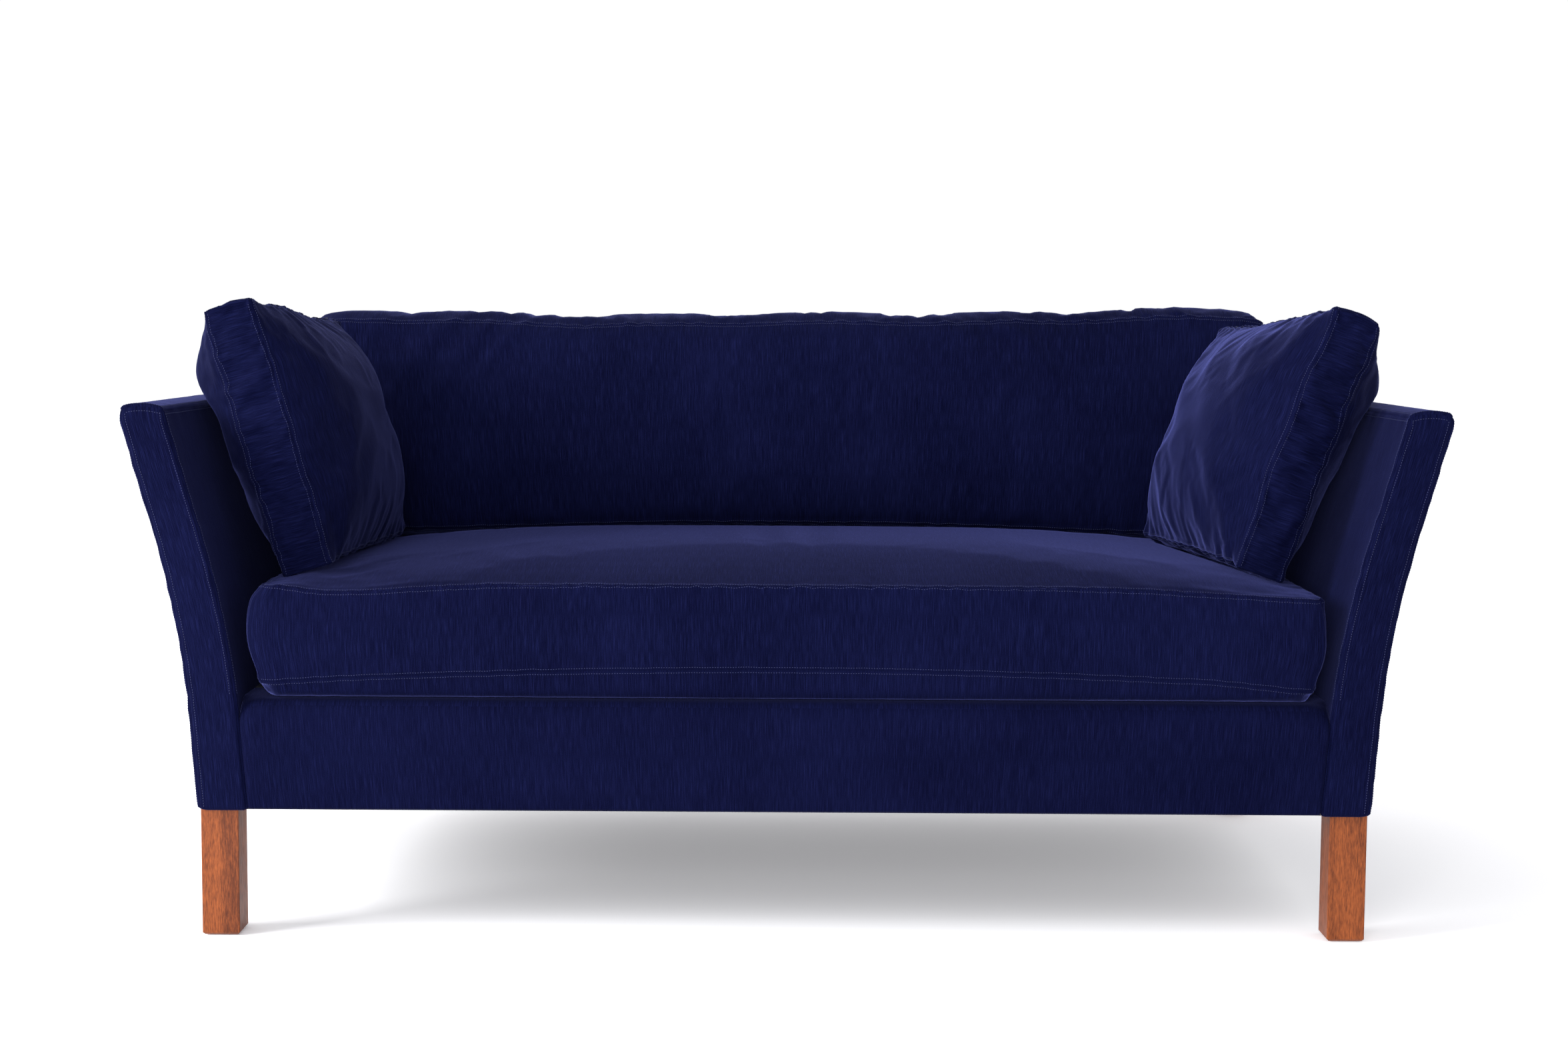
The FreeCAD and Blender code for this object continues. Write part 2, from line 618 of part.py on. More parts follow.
def seat_cushion(t):
    """Long box cushion with a crowned top and a rounded front. t is how far the surface is moved in."""
    bottom = SEAT_BOTTOM_Z + t
    side_view = [(-412, bottom), (SEAT_REAR_Y - 25, bottom), [(SEAT_REAR_Y - t - 7, bottom + 7)],
                 (SEAT_REAR_Y - t, bottom + 25), (SEAT_REAR_Y - t, 456 - t), [(-100, 521 - t)], (-446 + t, 474 - t),
                 [(-HALF_DEPTH + t, 415)], (-444 + t, 352), [(-435 + t, bottom + 9)]]
    front_view = [(-690, bottom), (690, bottom), [(708 - t, bottom + 10)], (714 - t, 360), [(717 - t, 410)],
                  (710 - t, 468 - t), [(0, 521 - t)], (-710 + t, 468 - t), [(-717 + t, 410)], (-714 + t, 360),
                  [(-708 + t, bottom + 10)]]
    return along_x(side_view, -760, 760).common(along_y(front_view, -500, 400))


def back_cushion(t):
    """Box cushion that widens upwards, before it is leaned back. Its lower edge hangs at both ends."""
    thick, high = BACK_CUSHION_THICK - t, BACK_CUSHION_HEIGHT - t
    hang, flat = 9.0 - t, BACK_ZIP / 2 + 20
    side_view = [(24, -hang), (thick - 30, -hang), [(thick - 6, -hang + 14)], (thick, 30), (thick, high - 24),
                 [(95, high + 6)], (14 + t, high - 4), [(-12 + t, 150)], (12 + t, -hang + 14)]
    low, top = 738 - t, 776 - t
    middle = (low + top) / 2 + 4
    right = [(flat, t), [((flat + low) / 2, t - 3)], (low, -hang), [(middle, 155)], (top, high - 30),
             [(top - 12, high)], (top - 44, high + 6)]
    return along_x(side_view, -800, 800).common(along_y(right + backwards(mirrored_outline(right)), -100, 300))


def side_cushion(t):
    """Square box cushion with two crowned faces. Its boxing is centred on x = 0 and starts at y = 0 and z = 0."""
    half = SIDE_BOXING / 2 - t

    def outline(length, crown):
        """A strip's section between two crowned faces that rise quickly from their seams."""
        start, end, knee, rise = t, length - t, SIDE_KNEE + t / 2, half + 0.55 * crown
        face = [(half, start), (rise, start + knee), [(half + crown, length / 2)], (rise, end - knee), (half, end)]
        return face + backwards(mirrored_outline(face))

    return (along_y(outline(SIDE_HEIGHT, SIDE_CROWN), -10, SIDE_DEPTH + 10)
            .common(along_z(outline(SIDE_DEPTH, SIDE_CROWN + 2), -10, SIDE_HEIGHT + 10)))


def placed_side_cushion(shape, side):
    lean, turn, at = SIDE_CUSHIONS[side]
    shape.rotate(ORIGIN, Y, -lean)
    shape.rotate(ORIGIN, Z, turn)
    shape.translate(at)
    return shape


def make_seat_cushion():
    dents = [placed_side_cushion(side_cushion(-SIDE_DENT), side) for side in SIDE_CUSHIONS]
    deeper_dents = [placed_side_cushion(side_cushion(-SIDE_DENT - COVER), side) for side in SIDE_CUSHIONS]
    core = cut_all(seat_cushion(COVER), *deeper_dents)
    save("seat_cushion_cover", cut_all(seat_cushion(0), core, *dents))
    save("seat_cushion_core", core)
    zipper, slider = zip_parts(SEAT_ZIP, 8)
    for name, part in (("seat_cushion_zip", zipper), ("seat_zip_slider", slider)):
        part.rotate(ORIGIN, X, -90)
        part.translate(Vector(-SEAT_ZIP / 2, SEAT_REAR_Y, 395))
        save(name, part)


def make_back_cushion():
    def place(shape):
        shape.rotate(ORIGIN, X, -BACK_CUSHION_RAKE)
        shape.translate(BACK_CUSHION_AT)
        return shape

    core = place(back_cushion(COVER))
    save("back_cushion_cover", place(back_cushion(0)).cut(core))
    save("back_cushion_filling", core)
    zipper, slider = zip_parts(BACK_ZIP, 8)
    for name, part in (("back_cushion_zip", zipper), ("back_zip_slider", slider)):
        part.rotate(ORIGIN, X, 180)
        part.translate(Vector(-BACK_ZIP / 2, 88, 0))
        save(name, place(part))


def make_side_cushions():
    for side in SIDE_CUSHIONS:
        core = placed_side_cushion(side_cushion(COVER), side)
        save(f"{side}_side_cushion_cover", placed_side_cushion(side_cushion(0), side).cut(core))
        save(f"{side}_side_cushion_filling", core)
        zipper, slider = zip_parts(SIDE_ZIP, 6)
        for name, part in (("cushion_zip", zipper), ("zip_slider", slider)):
            part.rotate(ORIGIN, Y, -90)
            part.rotate(ORIGIN, Z, -90)
            part.translate(Vector(0, SIDE_DEPTH, 27))
            save(f"{side}_side_{name}", placed_side_cushion(part, side))


def main():
    leg_tools = legs()
    metal, frame = make_frame(leg_tools)
    make_springs()
    straps = make_webbing()
    make_arms(metal, frame)
    make_border()
    make_deck(metal, frame)
    make_back(metal, frame, straps)
    make_dust_cover()
    make_seat_cushion()
    make_back_cushion()
    make_side_cushions()


main()
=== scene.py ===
# %% [markdown]
# # A velvet sofa on square wooden legs
# The wooden frame, the legs, the springs, the zips and everything else with a hard shape comes from the CAD model.
# This lesson dresses that model. It makes the padded and sewn pieces that show, and a finish for each material.
# All lengths are in metres. The front of the sofa looks towards -Y.

import json
import math

import bpy
import numpy as np
from mathutils import Matrix, Vector
from mathutils.bvhtree import BVHTree


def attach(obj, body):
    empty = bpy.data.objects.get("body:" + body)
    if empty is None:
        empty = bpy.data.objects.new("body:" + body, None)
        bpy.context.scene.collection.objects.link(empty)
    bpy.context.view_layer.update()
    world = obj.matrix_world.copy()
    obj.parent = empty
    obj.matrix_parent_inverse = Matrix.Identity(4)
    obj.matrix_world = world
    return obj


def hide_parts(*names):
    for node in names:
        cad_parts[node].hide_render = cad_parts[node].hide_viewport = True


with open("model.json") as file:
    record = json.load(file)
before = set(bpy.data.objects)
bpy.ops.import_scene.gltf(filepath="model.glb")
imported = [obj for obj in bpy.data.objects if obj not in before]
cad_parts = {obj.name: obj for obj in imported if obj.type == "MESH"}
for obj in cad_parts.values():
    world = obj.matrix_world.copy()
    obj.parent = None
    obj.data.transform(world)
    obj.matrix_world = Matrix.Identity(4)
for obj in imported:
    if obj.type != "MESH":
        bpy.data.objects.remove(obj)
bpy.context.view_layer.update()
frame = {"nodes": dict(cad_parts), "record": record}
scene = bpy.context.scene
bpy.ops.object.select_all(action="DESELECT")
print("nodes:", len(frame["nodes"]))

# %% [markdown]
# ## The stand, the camera and the light
# A camera with a lens of about 54 mm stands three metres in front of the sofa, a little below the eye level of
# somebody sitting. It looks slightly down. The floor is a plain pale sheet, and two large soft lamps stand round the
# sofa. The stronger one is on the left, so that the surfaces that turn to the left are the paler ones. The other one
# is low and in front, and lights the floor under the sofa.

# %% Camera
FRONT_Y = -0.442
VIEW_DISTANCE = 3.055
EYE_LEVEL = 0.826
LOOK_DOWN = math.radians(4.97)
ROLL = math.radians(0.35)
LENS = 53.57
OFF_CENTRE = -0.0025

bpy.ops.object.camera_add(location=(OFF_CENTRE, FRONT_Y - VIEW_DISTANCE, EYE_LEVEL))
camera = bpy.context.object
camera.name = "camera"
camera.rotation_mode = "XYZ"
turn = Matrix.Rotation(math.pi / 2 - LOOK_DOWN, 3, "X") @ Matrix.Rotation(ROLL, 3, "Z")
camera.rotation_euler = turn.to_euler("XYZ")
camera.data.lens = LENS
camera.data.sensor_width = 36.0
camera.data.clip_end = 100
scene.camera = camera
print("camera at", [round(c, 3) for c in camera.location])

# %% Floor, world and lamps
def set_inputs(changed, values):
    """Sets a node's sockets by their labels."""
    for label, value in values.items():
        changed.inputs[label].default_value = value


scene.view_settings.view_transform = "Standard"
bpy.ops.mesh.primitive_plane_add(size=60, location=(0, 0, 0))
floor = bpy.context.object
floor.name = "floor"
floor_paint = bpy.data.materials.new("floor_paint")
floor_paint.use_nodes = True
set_inputs(floor_paint.node_tree.nodes["Principled BSDF"], {
    "Base Color": (0.93, 0.93, 0.95, 1), "Roughness": 0.85, "Specular IOR Level": 0.1,
    "Emission Color": (0.97, 0.96, 1.0, 1), "Emission Strength": 0.20})
floor.data.materials.append(floor_paint)

world = bpy.data.worlds.new("studio")
world.use_nodes = True
set_inputs(world.node_tree.nodes["Background"], {"Color": (1.0, 1.0, 1.0, 1), "Strength": 1.01})
scene.world = world


def soft_lamp(name, place, target, size, power):
    """A square lamp that looks at a point."""
    bpy.ops.object.light_add(type="AREA", location=place)
    lamp = bpy.context.object
    lamp.name = name
    lamp.data.size = size
    lamp.data.energy = power
    lamp.rotation_euler = (Vector(target) - Vector(place)).to_track_quat("-Z", "Y").to_euler()
    return lamp


soft_lamp("key_lamp", (-3.9, -1.7, 2.1), (0, 0, 0.45), 1.9, 250)
soft_lamp("front_lamp", (-0.7, -4.6, 1.1), (0, -0.4, 0.0), 2.0, 110)

# %% [markdown]
# ## Grain, pile and thread as shader groups
# Velvet shows three things at once. Fine uneven streaks run along the pile, broad soft patches show where the pile
# lies another way, and a pale sheen lies on every part that is seen at a grazing angle.
# The streaks follow the cut of each panel, so they are placed by its UV map, which is in metres.

# %% Node helpers
def node(tree, kind, **values):
    """Adds a node. Values with a socket's name set that socket, and others set the node's own settings."""
    made = tree.nodes.new(kind)
    for key, value in values.items():
        if hasattr(made, key):
            setattr(made, key, value)
        else:
            made.inputs[key.replace("_", " ")].default_value = value
    return made


def noise(tree, vector, scale, detail=2.0, roughness=0.5):
    made = node(tree, "ShaderNodeTexNoise", Scale=scale, Detail=detail, Roughness=roughness)
    tree.links.new(vector, made.inputs["Vector"])
    return made.outputs["Fac"]


def stretched(tree, vector, scale):
    made = node(tree, "ShaderNodeVectorMath", operation="MULTIPLY")
    made.inputs[1].default_value = scale
    tree.links.new(vector, made.inputs[0])
    return made.outputs[0]


def ranged(tree, value, low, high, to_low=0.0, to_high=1.0):
    made = node(tree, "ShaderNodeMapRange")
    set_inputs(made, {"From Min": low, "From Max": high, "To Min": to_low, "To Max": to_high})
    tree.links.new(value, made.inputs["Value"])
    return made.outputs["Result"]


def feed(tree, socket, value):
    """Links a socket to another one, or sets it to a number or a colour."""
    if isinstance(value, bpy.types.NodeSocket):
        tree.links.new(value, socket)
    else:
        socket.default_value = value


def maths(tree, operation, a, b):
    made = node(tree, "ShaderNodeMath", operation=operation)
    feed(tree, made.inputs[0], a)
    feed(tree, made.inputs[1], b)
    return made.outputs[0]


def mixed(tree, factor, a, b, blend="MIX"):
    """Mixes two colours."""
    made = node(tree, "ShaderNodeMix", data_type="RGBA", blend_type=blend)
    for number, value in ((0, factor), (6, a), (7, b)):
        feed(tree, made.inputs[number], value)
    return made.outputs[2]


def new_group(name, **inputs):
    """A group that gives a colour, a roughness and a height. Each input is a kind of socket, or a number."""
    group = bpy.data.node_groups.new(name, "ShaderNodeTree")
    for label, value in inputs.items():
        kind = "Float" if isinstance(value, float) else value
        socket = group.interface.new_socket(name=label, in_out="INPUT", socket_type="NodeSocket" + kind)
        if kind != value:
            socket.default_value = value
    for label, kind in (("Color", "Color"), ("Roughness", "Float"), ("Height", "Float")):
        group.interface.new_socket(name=label, in_out="OUTPUT", socket_type="NodeSocket" + kind)
    return group, group.nodes.new("NodeGroupInput"), group.nodes.new("NodeGroupOutput")


# %% The pile group
def make_pile_group():
    """Colour, roughness and height of cut pile with slubs, for a vector in metres along the panel."""
    group, start, end = new_group("cut_pile", Vector="Vector", Place="Vector", Deep="Color", Pale="Color",
                                  Streaks=1.0)
    along = start.outputs["Vector"]
    fine = noise(group, stretched(group, along, (1500.0, 38.0, 1.0)), 1.0, 3.0, 0.6)
    slub = noise(group, stretched(group, along, (760.0, 12.0, 1.0)), 1.0, 2.0, 0.55)
    speck = noise(group, stretched(group, along, (1500.0, 1500.0, 1.0)), 1.0, 1.0, 0.5)
    patch = noise(group, start.outputs["Place"], 5.5, 3.0, 0.5)
    fine_streak = ranged(group, fine, 0.45, 0.78, 0.0, 0.80)
    streak = maths(group, "ADD", fine_streak, ranged(group, slub, 0.52, 0.8, 0.0, 0.5))
    streak = maths(group, "MULTIPLY", streak, start.outputs["Streaks"])
    streak = maths(group, "ADD", streak, ranged(group, speck, 0.3, 0.75, -0.10, 0.22))
    tone = maths(group, "ADD", streak, ranged(group, patch, 0.35, 0.7, -0.05, 0.12))
    dyed = mixed(group, tone, start.outputs["Deep"], start.outputs["Pale"])
    group.links.new(dyed, end.inputs["Color"])
    group.links.new(ranged(group, tone, 0.0, 1.0, 0.95, 0.72), end.inputs["Roughness"])
    height = maths(group, "ADD", maths(group, "MULTIPLY", fine, 0.6), maths(group, "MULTIPLY", speck, 0.4))
    group.links.new(height, end.inputs["Height"])
    return group


pile_group = make_pile_group()


# %% The wood grain group
def make_grain_group():
    """Stained hardwood: long flecks, darker pores and slow changes of tone, with the grain along Z."""
    group, start, end = new_group("wood_grain", Vector="Vector", Dark="Color", Light="Color")
    place = start.outputs["Vector"]
    fleck = noise(group, stretched(group, place, (620.0, 620.0, 90.0)), 1.0, 3.0, 0.65)
    pore = noise(group, stretched(group, place, (1100.0, 1100.0, 60.0)), 1.0, 2.0, 0.6)
    band = noise(group, stretched(group, place, (38.0, 38.0, 3.0)), 1.0, 3.0, 0.55)
    flecked = ranged(group, fleck, 0.33, 0.7, 0.0, 0.75)
    tone = maths(group, "ADD", flecked, ranged(group, band, 0.3, 0.7, -0.25, 0.4))
    stained = mixed(group, tone, start.outputs["Dark"], start.outputs["Light"])
    dark_pore = mixed(group, ranged(group, pore, 0.56, 0.7, 0.0, 0.55), stained, (0.25, 0.2, 0.18, 1), "MULTIPLY")
    group.links.new(dark_pore, end.inputs["Color"])
    group.links.new(ranged(group, pore, 0.4, 0.75, 0.38, 0.62), end.inputs["Roughness"])
    group.links.new(maths(group, "SUBTRACT", fleck, maths(group, "MULTIPLY", pore, 0.6)), end.inputs["Height"])
    return group


grain_group = make_grain_group()


# %% The grime and speckle group
def make_speckle_group():
    """Small changes of tone for plain cloth, metal, plastic and foam."""
    group, start, end = new_group("speckle", Vector="Vector", Color="Color", Scale=300.0, Depth=0.3, Rough=0.6)
    scaled = node(group, "ShaderNodeVectorMath", operation="SCALE")
    group.links.new(start.outputs["Vector"], scaled.inputs[0])
    group.links.new(start.outputs["Scale"], scaled.inputs["Scale"])
    fine = noise(group, scaled.outputs[0], 1.0, 3.0, 0.6)
    broad = noise(group, start.outputs["Vector"], 14.0, 3.0, 0.5)
    shade = maths(group, "ADD", ranged(group, fine, 0.3, 0.7, -0.5, 0.5), ranged(group, broad, 0.3, 0.7, -0.4, 0.4))
    factor = maths(group, "ADD", maths(group, "MULTIPLY", shade, start.outputs["Depth"]), 1.0)
    made = node(group, "ShaderNodeVectorMath", operation="SCALE")
    group.links.new(start.outputs["Color"], made.inputs[0])
    group.links.new(factor, made.inputs["Scale"])
    group.links.new(made.outputs[0], end.inputs["Color"])
    rough = maths(group, "ADD", start.outputs["Rough"], ranged(group, fine, 0.3, 0.7, -0.08, 0.08))
    group.links.new(rough, end.inputs["Roughness"])
    group.links.new(fine, end.inputs["Height"])
    return group


speckle_group = make_speckle_group()


# %% [markdown]
# ## The materials
# Each slot of the record gets one material. The shader stays in the material, and the group only feeds it.

# %% Materials
def new_material(name, group, bump, depth, **inputs):
    """A material whose group feeds the colour, roughness and bump of its shader."""
    material = bpy.data.materials.new(name)
    material.use_nodes = True
    tree = material.node_tree
    shader = tree.nodes["Principled BSDF"]
    pattern = tree.nodes.new("ShaderNodeGroup")
    pattern.node_tree = group
    set_inputs(pattern, inputs)
    tree.links.new(pattern.outputs["Color"], shader.inputs["Base Color"])
    tree.links.new(pattern.outputs["Roughness"], shader.inputs["Roughness"])
    height = node(tree, "ShaderNodeBump", Strength=bump, Distance=depth)
    tree.links.new(pattern.outputs["Height"], height.inputs["Height"])
    tree.links.new(height.outputs["Normal"], shader.inputs["Normal"])
    where = tree.nodes.new("ShaderNodeTexCoord")
    material.node_tree.links.new(where.outputs["Object"], pattern.inputs["Vector"])
    return material, shader, pattern, where


def velvet(name, deep, pale, streaks=1.0, coordinates="UV", sheen=0.165):
    """Cut pile. A stronger sheen gives a lit copy with painted sheen, and a weaker one a copy with painted shade."""
    material, shader, pattern, where = new_material(
        name, pile_group, 0.35, 0.0006, Deep=deep, Pale=pale, Streaks=streaks)
    links = material.node_tree.links
    links.new(where.outputs[coordinates], pattern.inputs["Vector"])
    links.new(where.outputs["Object"], pattern.inputs["Place"])
    set_inputs(shader, {"Specular IOR Level": 0.04, "Sheen Weight": sheen, "Sheen Roughness": 0.30,
                        "Sheen Tint": (0.21, 0.24, 0.80, 1)})
    return material


def wooden(name, dark, light, coat):
    material, shader, _, _ = new_material(name, grain_group, 0.25, 0.0004, Dark=dark, Light=light)
    set_inputs(shader, {"Specular IOR Level": 0.2, "Coat Weight": coat, "Coat Roughness": 0.35})
    return material


def speckled(name, colour, scale, depth, rough, metallic=0.0):
    material, shader, _, _ = new_material(
        name, speckle_group, 0.3, 0.0004, Color=colour, Scale=scale, Depth=depth, Rough=rough)
    set_inputs(shader, {"Metallic": metallic})
    return material


DEEP_NAVY = (0.0006, 0.0010, 0.0112, 1)
PALE_NAVY = (0.0048, 0.0068, 0.043, 1)
navy_velvet = velvet("navy_velvet", DEEP_NAVY, PALE_NAVY)
# A darker copy of the velvet with a weaker sheen: painted shade.
painted_shade_velvet = velvet("navy_velvet_painted_shade", DEEP_NAVY, PALE_NAVY, 0.8, sheen=0.08)
# A paler copy of the velvet with a stronger sheen: painted sheen.
painted_sheen_velvet = velvet("navy_velvet_painted_sheen", DEEP_NAVY, PALE_NAVY, 1.1, sheen=0.55)
navy_thread = speckled("navy_thread", (0.012, 0.017, 0.075, 1), 900.0, 0.4, 0.7)

finishes = {
    "velvet": velvet("navy_velvet_offcut", DEEP_NAVY, PALE_NAVY, 0.8, "Object"),
    "leg_wood": wooden("stained_hardwood", (0.080, 0.016, 0.003, 1), (0.27, 0.066, 0.014, 1), 0.02),
    "frame_wood": wooden("planed_softwood", (0.50, 0.33, 0.17, 1), (0.74, 0.55, 0.34, 1), 0.0),
    "dowel_wood": wooden("dowel_beech", (0.55, 0.38, 0.20, 1), (0.78, 0.60, 0.38, 1), 0.0),
    "hardboard": speckled("hardboard", (0.20, 0.105, 0.05, 1), 900.0, 0.35, 0.75),
    "zinc_steel": speckled("zinc_plate", (0.62, 0.62, 0.58, 1), 500.0, 0.12, 0.35, 1.0),
    "spring_steel": speckled("oiled_wire", (0.24, 0.24, 0.25, 1), 700.0, 0.25, 0.4, 1.0),
    "glide_plastic": speckled("glide_plastic", (0.03, 0.027, 0.024, 1), 800.0, 0.2, 0.5),
    "webbing": speckled("elastic_webbing", (0.075, 0.065, 0.05, 1), 650.0, 0.5, 0.9),
    "padding": speckled("needled_felt", (0.72, 0.70, 0.66, 1), 420.0, 0.2, 0.95),
    "foam": speckled("cushion_foam", (0.78, 0.70, 0.42, 1), 1200.0, 0.3, 0.95),
    "fibre_filling": speckled("fibre_filling", (0.83, 0.83, 0.81, 1), 260.0, 0.15, 0.95),
    "platform_cloth": speckled("platform_cloth", (0.004, 0.006, 0.02, 1), 1300.0, 0.5, 0.9),
    "dust_cloth": speckled("dust_cloth", (0.006, 0.006, 0.006, 1), 900.0, 0.5, 0.95),
    "zip_tape": speckled("zip_tape", (0.004, 0.006, 0.026, 1), 1300.0, 0.5, 0.8),
    "zip_slider": speckled("zip_enamel", (0.006, 0.008, 0.022, 1), 500.0, 0.2, 0.4, 0.6),
}
slot_of = {part["node"]: part["material_slot"] for part in frame["record"]["subparts"]}
for name, piece in frame["nodes"].items():
    piece.data.materials.clear()
    piece.data.materials.append(finishes[slot_of[name]])
print("finishes:", len(finishes))

# %% [markdown]
# ## A sewn skin on a block of grid lines
# Cushions and upholstered panels are all closed skins with six sides: a front, a back, two flanks, a top and an
# underside. So each starts as a block of grid lines. A small function bends the block into the piece's form.
# The lines are closer together beside a seam, where the felled edge, its groove and the rows of stitches need them.

# %% Six sides of a block
SIDES = {
    "front": (1, -1, 0, 2, False),
    "rear": (1, 1, 0, 2, True),
    "left": (0, -1, 1, 2, True),
    "right": (0, 1, 1, 2, False),
    "top": (2, 1, 0, 1, False),
    "bottom": (2, -1, 0, 1, True),
}


class Block:
    """The skin of a block of grid lines. Its parameters run from -1 to 1 on each axis."""

    def __init__(self, lines):
        self.lines = lines
        self.counts = [len(line) for line in lines]
        steps = np.meshgrid(*[np.arange(count) for count in self.counts], indexing="ij")
        on_skin = np.zeros(self.counts, bool)
        for step, count in zip(steps, self.counts):
            on_skin |= (step == 0) | (step == count - 1)
        numbers = np.full(self.counts, -1)
        numbers[on_skin] = np.arange(on_skin.sum())
        self.parameters = np.stack([line[step[on_skin]] for line, step in zip(lines, steps)], axis=1)
        self.grids = {}
        for side, (axis, sign, _, _, _) in SIDES.items():
            self.grids[side] = np.take(numbers, 0 if sign < 0 else self.counts[axis] - 1, axis=axis)


def even_lines(length, step):
    return np.linspace(-1, 1, max(int(round(length / step)), 4) + 1)


SEAM_STEPS = np.array([0, 0.8, 1.8, 3.0, 4.0, 5.0, 6.2, 7.4, 9.5, 13.0, 18.0]) / 1000


def seam_lines(length, step):
    """Grid lines that crowd together towards both ends."""
    reach = SEAM_STEPS[-1]
    if length < 3 * reach:
        near = SEAM_STEPS * length / (3 * reach)
    else:
        near = SEAM_STEPS
    middle = length - 2 * near[-1]
    count = max(int(round(middle / step)), 2)
    inner = near[-1] + middle * np.arange(1, count) / count
    places = np.concatenate([near, inner, length - near[::-1]])
    return places / length * 2 - 1


# %% Helpers for shapes
def smooth(x, start=0.0, end=1.0):
    t = np.clip((x - start) / (end - start), 0, 1)
    return t * t * (3 - 2 * t)


def quarter(share):
    """How far a quarter circle has turned in, at a share of its radius."""
    return 1 - np.sqrt(1 - share ** 2 * 0.98)


def soften(points, low, high, radii):
    """Rounds the edges of a box-shaped skin. Each axis has a radius at its low end and one at its high end."""
    near = np.zeros_like(points)
    radius = np.zeros_like(points)
    way = np.zeros_like(points)
    for i in range(3):
        from_low, from_high = points[:, i] - low[i], high[i] - points[:, i]
        at_low = from_low < from_high
        radius[:, i] = np.where(at_low, radii[i][0], radii[i][1])
        way[:, i] = np.where(at_low, 1, -1)
        near[:, i] = np.clip(1 - np.minimum(from_low, from_high) / np.maximum(radius[:, i], 1e-9), 0, 1)
    long_way = np.sqrt((near ** 2).sum(axis=1))
    scale = np.where(long_way > 0, near.max(axis=1) / np.maximum(long_way, 1e-9), 1)
    return points + way * radius * near * (1 - scale[:, None])


def waves(points, scale, seed):
    """Smooth, even unevenness between about -1 and 1, the same in every run."""
    dice = np.random.default_rng(seed)
    total = np.zeros(len(points))
    for _ in range(7):
        way = dice.normal(size=3)
        way *= dice.uniform(0.6, 1.5) / np.linalg.norm(way)
        total += np.sin(points @ way * (2 * math.pi / scale) + dice.uniform(0, 2 * math.pi))
    return total / 3.2


def creases(s, seed, pitch):
    """Sharp valleys with soft hills between them, at uneven distances along a line."""
    dice = np.random.default_rng(seed)
    spots = np.cumsum(dice.uniform(0.5, 1.6, 400) * pitch)
    depth = dice.uniform(0.25, 1.0, 400)
    after = np.clip(np.searchsorted(spots, s), 1, 399)
    before = after - 1
    share = (s - spots[before]) / (spots[after] - spots[before])
    hill = np.sin(np.pi * np.clip(share, 0, 1)) ** 0.7
    return hill - (depth[before] * (1 - share) + depth[after] * share)


def crinkle(s, seed, short, long):
    """Unevenness along a line, in wavelengths from short to long."""
    dice = np.random.default_rng(seed)
    total = np.zeros_like(s)
    for _ in range(8):
        total += np.sin(s * 2 * math.pi / dice.uniform(short, long) + dice.uniform(0, 2 * math.pi))
    return total / 3.0


# %% [markdown]
# ## Blowing a cushion up
# A real cushion gets its look from its cover being full: the panels crown, and the cloth beside the sewn edges
# gathers into small folds. A cloth simulation makes those folds. The coarse skin has a little slack and is blown up
# for twenty frames without weight, with its seams held in place. The broad swelling is then taken out again, since
# the shape functions give it, and no fold may be deeper than a few millimetres. The result is read back on to finer
# grid lines.

# %% Simulation and refinement
def coordinates_of(piece):
    found = np.empty(len(piece.data.vertices) * 3)
    piece.data.vertices.foreach_get("co", found)
    return found.reshape(-1, 3)


def quad_corners(grid, flipped):
    """The corners of each quad of a grid, in turn round the quad."""
    corners = [grid[:-1, :-1], grid[1:, :-1], grid[1:, 1:], grid[:-1, 1:]]
    if flipped:
        corners.reverse()
    return np.stack(corners, axis=2).reshape(-1, 4, *grid.shape[2:])


def plain_skin(name, block, points, mirror=False):
    """A mesh object of the block's quads, and the side that each quad is on."""
    quads, sides = [], []
    for number, (side, (_, _, _, _, flip)) in enumerate(SIDES.items()):
        found = quad_corners(block.grids[side], flip != mirror)
        quads.append(found)
        sides.append(np.full(len(found), number))
    mesh = bpy.data.meshes.new(name)
    mesh.from_pydata(points.tolist(), [], np.concatenate(quads).tolist())
    piece = bpy.data.objects.new(name, mesh)
    scene.collection.objects.link(piece)
    return piece, np.concatenate(quads), np.concatenate(sides)


FOLD_ROUNDS, MOST_FOLD = 20, 0.007
CLOTH = {"quality": 5, "mass": 0.3, "air_damping": 1.5, "tension_stiffness": 15, "compression_stiffness": 15,
         "shear_stiffness": 5, "use_pressure": True, "vertex_group_mass": "seam"}


def grid_edges(block):
    """The pairs of points that are neighbours on a block's skin."""
    found = []
    for grid in block.grids.values():
        found.append(np.stack([grid[:-1].ravel(), grid[1:].ravel()], axis=1))
        found.append(np.stack([grid[:, :-1].ravel(), grid[:, 1:].ravel()], axis=1))
    return np.unique(np.sort(np.concatenate(found), axis=1), axis=0)


def blurred(values, edges, rounds):
    """Vectors averaged with those of their neighbours, several times over."""
    count = len(values)
    degree = np.bincount(edges.ravel(), minlength=count)
    for _ in range(rounds):
        mean = np.empty_like(values)
        for k in range(3):
            mean[:, k] = (np.bincount(edges[:, 0], values[edges[:, 1], k], count)
                          + np.bincount(edges[:, 1], values[edges[:, 0], k], count)) / degree
        values = (values + mean) / 2
    return values


